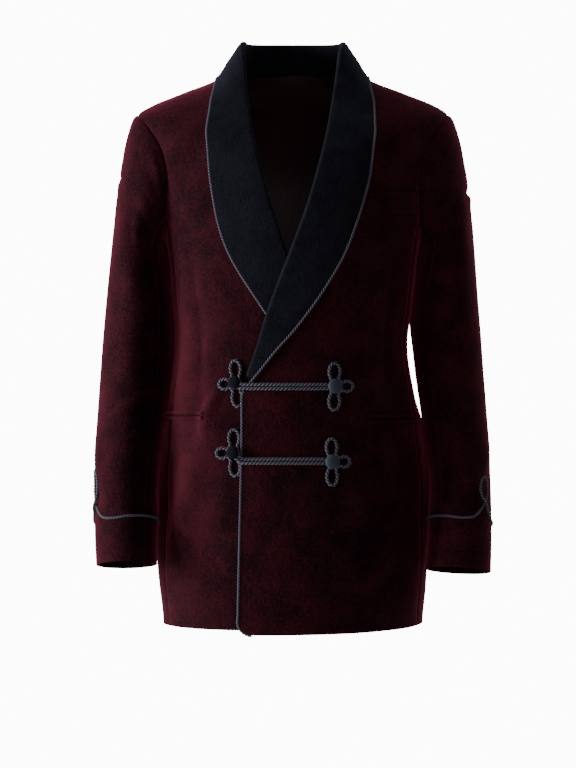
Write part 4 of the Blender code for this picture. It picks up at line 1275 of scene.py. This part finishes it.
class JACKET_OT_sides(bpy.types.Operator):
    """Side bodies, between the fronts and the backs, up to the foot of the armholes"""

    bl_idname = "jacket.sides"
    bl_label = "Side bodies"

    def execute(self, context):
        sizes = context.scene.jacket_sizes
        for half in HALVES:
            spins = FORE_SEAM + (HIND_SEAM - FORE_SEAM) * spread(steps(RUN["side"]), EDGE_SHARES)
            arm_turn, arm_up = armhole(spins)
            body = np.linspace(HEM_UNDER + HEM_ROWS[-1], SIDE_TOP, steps(RUN["side_seam"]))
            low = np.concatenate([HEM_UNDER + HEM_ROWS[:-1], body])
            rise = np.linspace(0, 1, 14)[1:, None]
            up = np.concatenate([
                np.repeat(low[:, None], len(spins), axis=1), SIDE_TOP + (arm_up - SIDE_TOP) * rise])
            lean = (arm_turn - math.radians(FRONT_SEAM)) / math.radians(BACK_SEAM - FRONT_SEAM)
            turn = arm_turn - seam_lap(up) * (1 - 2 * lean)
            base, out = stood(lying, turn, up, half, np.zeros(turn.shape))
            inside = up > HEM_UNDER + sizes.turn_up
            sewn("side", half, base, out, ("left", "right", "high"), ("low",), inside)
        return {"FINISHED"}


class JACKET_OT_backs(bpy.types.Operator):
    """Backs, from the side seam, armhole and shoulder to the centre seam"""

    bl_idname = "jacket.backs"
    bl_label = "Backs"

    def execute(self, context):
        sizes = context.scene.jacket_sizes
        for half in HALVES:
            spins = np.linspace(HIND_SEAM, 360, steps(RUN["armhole"]))
            outer, up = outer_border(HEM_UNDER, HEM_ROWS, spins, BACK_SEAM)
            outer = outer - seam_lap(up)
            inner = math.pi + seam_lap(up, "back")
            share = spread(steps(RUN["back"]), EDGE_SHARES)
            turn = outer[:, None] + (inner - outer)[:, None] * share
            up = np.repeat(up[:, None], len(share), axis=1)
            base, out = stood(lying, turn, up, half, np.zeros(turn.shape))
            inside = up > HEM_UNDER + sizes.turn_up
            sewn("back", half, base, out, ("left", "right"), ("low",), inside)
        return {"FINISHED"}


class JACKET_OT_sleeves(bpy.types.Operator):
    """Two-piece sleeves, from the armhole to the open cuff"""

    bl_idname = "jacket.sleeves"
    bl_label = "Sleeves"

    def execute(self, context):
        sizes = context.scene.jacket_sizes
        ends = {"sleeve_top": (HIND_SEAM - 360, FORE_SEAM), "sleeve_under": (FORE_SEAM, HIND_SEAM)}
        near = 2 - np.array((0.022, 0.012, 0.0055, 0.0026, 0.0011, 0.0))
        along = np.concatenate([
            (0, 0.004, 0.009, 0.016), np.linspace(0.03, 1, steps(RUN["sleeve_head"])),
            np.linspace(1, 1.97, steps(RUN["forearm"]))[1:], near])[::-1]
        for half in HALVES:
            for cut, (start, end) in ends.items():
                share = spread(steps(RUN[cut]), EDGE_SHARES)
                spins = np.radians(start + (end - start) * share) - SEWN / ARM_ROUND * (1 - 2 * share)
                spin, rows = np.meshgrid(spins[::-1], along)
                base, out = stood(sleeve_lying, spin, rows, half, np.zeros(spin.shape))
                tuck = base[-1:] + unit(base[-1:] - base[-3:-2]) * SLEEVE_TUCK
                base, out = np.concatenate([base, tuck]), np.concatenate([out, out[-1:]])
                inside = np.concatenate([rows, rows[-1:]]) < 2 - sizes.turn_up / CUFF_LONG
                sewn(cut, half, base, out, ("left", "right", "high"), ("low",), inside)
        return {"FINISHED"}


class JACKET_OT_collar(bpy.types.Operator):
    """Shawl collar halves: the turned-in stand, the fold and the fall, joined at the centre back"""

    bl_idname = "jacket.collar"
    bl_label = "Collar"

    def execute(self, context):
        for half in HALVES:
            row = collar_rows(half, steps(RUN["lapel"]), steps(RUN["neck"]))

            def surface(turn, up):
                return face(turn, up, half)

            def at(share):
                turn = row["roll_turn"] + (row["edge_turn"] - row["roll_turn"]) * share
                up = row["roll_up"] + (row["edge_up"] - row["roll_up"]) * share
                return surface(turn, up), normal(surface, turn, up)

            shown, away_out = [], []
            under = WALL + COLLAR_GAP + COLLAR_WALL
            over = COLLAR_GAP + COLLAR_WALL
            for part in (1.0, 0.985, 0.94, 0.8, 0.6, 0.4, 0.2):
                point, out = at((row["inside"] + STAND_LAP * row["bridge"]) * part)
                shown.append(point - out * under)
                away_out.append(-out)
            roll, out = at(0.0)
            out = evened(out, 60)
            away = evened(unit(roll - at(0.15)[0]), 320)
            away = unit(away - out * np.sum(away * out, axis=-1, keepdims=True))
            heart = roll - out * WALL / 2
            for bend in np.radians(np.linspace(180, 0, 13)):
                spoke = out * math.cos(bend) + away * math.sin(bend)
                shown.append(heart + spoke * (WALL / 2 + over))
                away_out.append(spoke)
            end, end_out = at(1.0)
            start_point = roll + out * over
            end_point = end + end_out * over
            shares = np.concatenate([np.linspace(0, 0.975, 22)[1:], (0.986, 0.993, 0.998, 1.0)])
            for share in shares:
                point, lift = at(share)
                hug = point + lift * over
                straight = start_point + (end_point - start_point) * share
                off = np.sum((straight - hug) * lift, axis=-1)
                off = np.maximum(off + FALL_BELLY * math.sin(math.pi * share), 0) + NECK_EASE
                shown.append(hug + lift * (off * row["bridge"])[:, None])
                away_out.append(lift)
            base = np.stack(shown, axis=1)
            out = np.stack(away_out, axis=1)
            name, inside = f"collar_{half}", np.zeros(base.shape[:2], bool)
            wall = cloth(
                base, out, half, ("high",), ("left", "right", "low"), inside, COLLAR_WALL, dip_share=0.3)
            made = piece(name, wall, [name], "collar_velvet")
        return {"FINISHED"}


class JACKET_OT_pockets(bpy.types.Operator):
    """Breast welt, and jetted hip pockets whose two lips are one strip slit and turned through"""

    bl_idname = "jacket.pockets"
    bl_label = "Pockets"

    def execute(self, context):
        share = spread(24, (0.0, 0.006, 0.013, 0.022, 0.04))
        rise = spread(14, (0.0, 0.012, 0.028, 0.05, 0.09))
        across = share[None, :, None]
        foot = WELT_INNER_FOOT + (WELT_OUTER_FOOT - WELT_INNER_FOOT) * across
        top = WELT_INNER_TOP + (WELT_OUTER_TOP - WELT_INNER_TOP) * across
        welt = foot + (top - foot) * rise[:, None, None]
        wall = self.patch(*seen(welt[..., 0], welt[..., 1]), "left", WELT_PUFF)
        made = piece("breast_welt", wall, ["breast_welt"], "velvet")
        for half in HALVES:
            low, high = JET_TURN[half]
            turns = np.radians(low + (high - low) * spread(60, (0.0, 0.004, 0.009, 0.016)))
            lips = []
            for sign in (1, -1):
                edges = sorted((JET_MOUTH[half] + sign * JET_SLIT, JET_MOUTH[half] + sign * JET_TALL))
                rows = edges[0] + (edges[1] - edges[0]) * spread(5, (0.0, 0.05, 0.11, 0.19))
                lips.append(self.patch(*np.meshgrid(turns, rows), half, LIP_PUFF))
            name = f"hip_pocket_{half}"
            made = piece(name, merged(lips), [f"{name}_upper", f"{name}_lower"], "velvet")
        return {"FINISHED"}

    def patch(self, turn, up, half, puff):
        """Small wall lying on a front, swelling between its quarter-round edges."""
        base, out = stood(lying, turn, up, half, np.full(turn.shape, POCKET_WALL * POCKET_RISE))
        inside = np.zeros(turn.shape, bool)
        return cloth(base, out, half, (), ("left", "right", "low", "high"), inside, POCKET_WALL, puff)


class JACKET_OT_edging(bpy.types.Operator):
    """Twisted cords along the collar, the front edge and the cuffs"""

    bl_idname = "jacket.edging"
    bl_label = "Edging cords"

    def execute(self, context):
        pitch = context.scene.jacket_sizes.pitch * EDGE_PITCH
        runs = [self.collar_run("left", 0.0), self.collar_run("right", CORD_HIDDEN)]
        points = np.concatenate([runs[0][0][:-1], runs[1][0][::-1]])
        out = np.concatenate([runs[0][1][:-1], runs[1][1][::-1]])
        twisted_cord("collar_cord", points, out, EDGE_CORD, pitch)
        twisted_cord("front_edge_cord", *self.front_run(), EDGE_CORD, pitch)
        for half in HALVES:
            twisted_cord(f"cuff_cord_{half}", *self.cuff_run(half), EDGE_CORD, pitch)
        return {"FINISHED"}

    def collar_run(self, half, hidden):
        """Cord centres beside a collar half's outer edge, and the way out of the cloth there."""
        row = collar_rows(half, 64, 136)
        skip = int(hidden * 200)
        row = {name: column[skip:] for name, column in row.items()}
        edge = face(row["edge_turn"], row["edge_up"], half)
        raised = lying(row["edge_turn"], row["edge_up"], half, np.full(len(edge), EDGE_CORD * EDGE_RISE))
        along = np.gradient(edge, axis=0)
        beside = unit(np.cross(raised - edge, along))
        inward = face(row["roll_turn"], row["roll_up"], half) - edge
        beside = beside * -np.sign(np.sum(beside * inward, axis=-1, keepdims=True))
        centre = raised + beside * EDGE_CORD * EDGE_BESIDE
        out = unit(raised - edge)
        if not hidden:
            foot = centre[:1] + unit(centre[:1] - centre[2:3]) * np.array(CORD_FOOT)[:, None]
            centre, out = np.concatenate([foot, centre]), np.concatenate([out[:1], out[:1], out])
        return mirrored(centre, half), mirrored(out, half)

    def front_run(self):
        """Cord centres beside the lapping front's edge, round the corner at its foot."""
        straight = np.linspace(EDGE_CORD_TOP, HEM + HEM_CORNER * 1.4, 90)
        off = EDGE_CORD * FRONT_BESIDE
        bends = np.radians(np.linspace(0, 84, 24))
        turn, up = seen(front_edge(straight) - off, straight)
        foot = seen(front_edge(HEM), HEM)[0]
        corner_turn = foot + HEM_CORNER * (1 - np.cos(bends)) / CORNER_ARC - off * np.cos(bends) / EDGE_ARC
        corner_up = HEM + HEM_CORNER * (1 - np.sin(bends)) - off * np.sin(bends)
        turn, up = np.append(turn, corner_turn), np.append(up, corner_up)
        return stood(lying, turn, up, "left", np.full(len(turn), -WALL * 0.3))

    def cuff_run(self, half):
        """Cord centres round a cuff with the looped knot."""
        cross = KNOT["up"][np.argmax(KNOT["lift"])]
        up = np.where(KNOT["up"] > cross, cross + (KNOT["up"] - cross) * KNOT_LOOP[half], KNOT["up"])
        run = spaced(np.stack([KNOT["round"], up, KNOT["lift"]], axis=-1), 240)
        spin = math.radians(KNOT_TURN[half]) + run[:, 0] / CUFF_ROUND
        along = 2 - run[:, 1] / CUFF_LONG
        height = EDGE_CORD * CUFF_RISE + run[:, 2] * CUFF_LIFT
        centre, out = stood(sleeve_lying, spin, along, half, height)
        return mirrored(centre, half), mirrored(out, half)


class JACKET_OT_frogs(bpy.types.Operator):
    """Frog fastenings: a three-looped knot on each front and the loop cord between them"""

    bl_idname = "jacket.frogs"
    bl_label = "Frog cords"

    def execute(self, context):
        pitch = context.scene.jacket_sizes.pitch
        for level, place in FROG.items():
            for half in HALVES:
                x, z = place[half]
                run = self.trefoil(SIDE[half], place["tilt"][half == "left"])
                height = np.full(len(run), FROG_CORD * TREFOIL_RISE)
                lie = stood(on_front, x + run[:, 0], z + run[:, 1], half, height)
                twisted_cord(f"frog_{level}_trefoil_{half}", *lie, FROG_CORD, pitch)
            twisted_cord(f"frog_{level}_loop", *self.loop(place), FROG_CORD * LOOP_THICK, pitch)
        return {"FINISHED"}

    def trefoil(self, side, tilt):
        """Flat centre line of a three-looped knot: three ellipses left open at their feet."""
        run = []
        tuck = np.array((-TREFOIL_WIDE * 0.45, TREFOIL_BASE * 0.55))
        run.append(tuck[None])
        for heading, reach in ((90, TREFOIL_TALL), (0, TREFOIL_SIDE), (-90, TREFOIL_TALL)):
            half_long = (reach - TREFOIL_BASE) / 2
            bends = np.radians(np.linspace(48, 312, 12))
            along = TREFOIL_BASE + half_long - half_long * np.cos(bends)
            across = TREFOIL_WIDE * np.sin(bends)
            way = math.radians(heading)
            run.append(np.stack([
                along * math.cos(way) - across * math.sin(way),
                along * math.sin(way) + across * math.cos(way)], axis=-1))
        run.append(tuck[None] * (1, -1))
        run = spaced(np.concatenate(run), 180)
        lean = math.radians(tilt)
        x = run[:, 0] * math.cos(lean) - run[:, 1] * math.sin(lean)
        z = run[:, 0] * math.sin(lean) + run[:, 1] * math.cos(lean)
        return np.stack([x * side, z], axis=-1)

    def loop(self, place):
        """Loop cord: out along one strand, round the button's neck and back along the other."""
        (far_x, far_z), (near_x, near_z) = place["right"], place["left"]
        edge_x = -EDGE_BREAK - 0.001
        line_x = np.array((near_x - 0.0085, near_x - 0.045, edge_x + 0.03, edge_x))
        line_z = np.full(4, near_z + place["bar"])
        strand = spaced(np.stack([line_x, line_z], axis=-1), 60)
        heading = math.atan2(far_z - line_z[-1], far_x - edge_x)
        around = np.radians(np.linspace(-140, 140, 13))
        eye_x = far_x + EYE * np.cos(heading + around)
        eye_z = far_z + EYE * np.sin(heading + around)
        x = np.concatenate([strand[:, 0], eye_x, strand[::-1, 0]])
        z = np.concatenate([strand[:, 1] + BAR_HALF, eye_z, strand[::-1, 1] - BAR_HALF])
        turn, up = seen(x, z)
        share = ease(x, far_x + EYE, edge_x)
        height = EYE_HEIGHT + (front_lift(up) + FROG_CORD + LAY_GAP - EYE_HEIGHT) * share
        out = normal(form, turn, up)
        points = form(turn, up) + out * height[:, None]
        return points, out


class JACKET_OT_buttons(bpy.types.Operator):
    """Covered buttons: a domed profile turned round its own axis"""

    bl_idname = "jacket.buttons"
    bl_label = "Buttons"

    def execute(self, context):
        for level, place in FROG.items():
            for half in HALVES:
                name = f"frog_{level}_button_{half}"
                slot = "covered_button" if half == "left" else "collar_velvet"
                piece(name, self.turned(place[half], half), [name], slot)
        return {"FINISHED"}

    def turned(self, place, half):
        """Points of a button: neck, flat foot and rounded dome, each a circle round the axis."""
        radius, foot = BUTTON_RADIUS[half], BUTTON_FOOT[half]
        bends = np.radians(np.linspace(-38, 86, 16))
        dome_r = radius * np.cos(bends) ** 0.8
        dome_z = foot + BUTTON_EDGE + (BUTTON_DOME - BUTTON_EDGE) * np.sin(bends)
        dome_z = np.where(bends < 0, foot + BUTTON_EDGE * (1 + np.sin(bends) / 0.62), dome_z)
        reach = np.concatenate([(BUTTON_NECK, BUTTON_NECK), dome_r])
        height = np.concatenate([(LAY_GAP, foot), dome_z])
        around = np.linspace(0, 2 * math.pi, 48, endpoint=False)
        x, z = (np.array((v, v)) for v in place)
        low, tip = on_front(x, z, half, np.array((0.0, 0.01)))
        axis = unit(tip - low)
        first = unit(np.cross(axis, (0.0, 0.0, 1.0)))
        second = np.cross(axis, first)
        spoke = first * np.cos(around)[:, None] + second * np.sin(around)[:, None]
        points = low + axis * height[:, None, None] + spoke[None] * reach[:, None, None]
        rows, sides = points.shape[:2]
        index, after, faces = tube_faces(rows, sides)
        none = np.full(sides, -1)
        foot_pole, tip_pole = np.full(sides, rows * sides), np.full(sides, rows * sides + 1)
        faces = np.concatenate([
            faces, np.stack([after[0], index[0], foot_pole, none], axis=-1),
            np.stack([index[-1], after[-1], tip_pole, none], axis=-1)])
        poles = np.stack([low + axis * LAY_GAP, low + axis * (foot + BUTTON_DOME)])
        uv = np.stack(np.broadcast_arrays(around, height[:, None]), axis=-1).reshape(-1, 2)
        uv = np.concatenate([uv, ((0.0, LAY_GAP), (0.0, foot + BUTTON_DOME))])
        return np.concatenate([points.reshape(-1, 3), poles]), faces, uv, np.zeros(len(faces), int)


class JACKET_OT_stage(bpy.types.Operator):
    """Pale floor, soft studio light and the camera at the picture's angle"""

    bl_idname = "jacket.stage"
    bl_label = "Stage"

    def execute(self, context):
        stage = context.scene.jacket_stage
        self.floor(stage)
        for name, (place, size) in LIGHTS.items():
            self.light(name.title(), place, size, getattr(stage, name))
        self.world(context)
        data = bpy.data.cameras.new("Camera")
        data.sensor_width = 36.0
        data.lens = stage.distance / stage.scale / max(IMAGE) * data.sensor_width
        camera = bpy.data.objects.new("Camera", data)
        camera.location = (CAMERA_X, -stage.distance, CAMERA_Z)
        camera.rotation_euler = (math.pi / 2, 0, 0)
        context.scene.collection.objects.link(camera)
        context.scene.camera = camera
        return {"FINISHED"}

    def floor(self, stage):
        """Round floor below the hem: a circle filled by one face."""
        around = np.linspace(0, 2 * math.pi, 96, endpoint=False)
        x, y = np.cos(around) * stage.floor_radius, np.sin(around) * stage.floor_radius
        points = np.stack([x, y, np.full(x.shape, -stage.floor_drop)], axis=-1)
        mesh = bpy.data.meshes.new("floor")
        mesh.from_pydata(points.tolist(), [], [list(range(len(points)))])
        mesh.materials.append(material_of("floor"))
        made = bpy.data.objects.new("floor", mesh)
        bpy.context.scene.collection.objects.link(made)

    def light(self, name, place, size, power):
        """Soft square light turned towards the chest."""
        data = bpy.data.lights.new(name, "AREA")
        data.size = size
        data.energy = power
        made = bpy.data.objects.new(name, data)
        made.location = place
        aim = Vector(LIGHT_AIM) - Vector(place)
        made.rotation_euler = aim.to_track_quat("-Z", "Y").to_euler()
        bpy.context.scene.collection.objects.link(made)

    def world(self, context):
        """White surround for the picture, and a dim even light for the object."""
        made = bpy.data.worlds.new("Studio")
        made.use_nodes = True
        tree = made.node_tree
        dim = tree.nodes["Background"]
        dim.inputs["Color"].default_value = (1, 1, 1, 1)
        dim.inputs["Strength"].default_value = DIM
        bright = add_node(tree, "ShaderNodeBackground", {}, Color=(1, 1, 1, 1), Strength=SURROUND)
        path = add_node(tree, "ShaderNodeLightPath", {})
        mix = add_node(tree, "ShaderNodeMixShader", {}, Fac=path.outputs["Is Camera Ray"])
        tree.links.new(dim.outputs[0], mix.inputs[1])
        tree.links.new(bright.outputs[0], mix.inputs[2])
        tree.links.new(mix.outputs[0], tree.nodes["World Output"].inputs["Surface"])
        context.scene.world = made


class JACKET_PT_pieces(bpy.types.Panel):
    """Pieces of the jacket and the stage"""

    bl_idname = "JACKET_PT_pieces"
    bl_label = "Velvet jacket"
    bl_space_type = "VIEW_3D"
    bl_region_type = "UI"
    bl_category = "Jacket"

    def draw(self, context):
        for made in PIECES:
            self.layout.operator(made.bl_idname)
        for group in ("jacket_sizes", "jacket_colours", "jacket_stage"):
            owner = getattr(context.scene, group)
            for name in owner.bl_rna.properties.keys():
                if name not in {"rna_type", "name"}:
                    self.layout.prop(owner, name)


GROUPS = {"jacket_sizes": JacketSizes, "jacket_colours": JacketColours, "jacket_stage": JacketStage}
PIECES = (
    JACKET_OT_fronts, JACKET_OT_sides, JACKET_OT_backs, JACKET_OT_sleeves, JACKET_OT_collar,
    JACKET_OT_pockets, JACKET_OT_edging, JACKET_OT_frogs, JACKET_OT_buttons, JACKET_OT_stage)


def register():
    """Makes the jacket's operators, panel and values known."""
    for made in (*GROUPS.values(), *PIECES, JACKET_PT_pieces):
        bpy.utils.register_class(made)
    for name, group in GROUPS.items():
        setattr(bpy.types.Scene, name, PointerProperty(type=group))


def unregister():
    """Takes them away again."""
    for name in GROUPS:
        delattr(bpy.types.Scene, name)
    for made in reversed((*GROUPS.values(), *PIECES, JACKET_PT_pieces)):
        bpy.utils.unregister_class(made)


def main():
    """Builds the jacket and the stage."""
    register()
    for old in list(bpy.data.objects):
        if old.type in {"CAMERA", "LIGHT"} or old.name == "Cube":
            bpy.data.objects.remove(old, do_unlink=True)
    bpy.ops.jacket.fronts()
    bpy.ops.jacket.sides()
    bpy.ops.jacket.backs()
    bpy.ops.jacket.sleeves()
    bpy.ops.jacket.collar()
    bpy.ops.jacket.pockets()
    bpy.ops.jacket.edging()
    bpy.ops.jacket.frogs()
    bpy.ops.jacket.buttons()
    bpy.ops.jacket.stage()


if __name__ == "__main__":
    main()
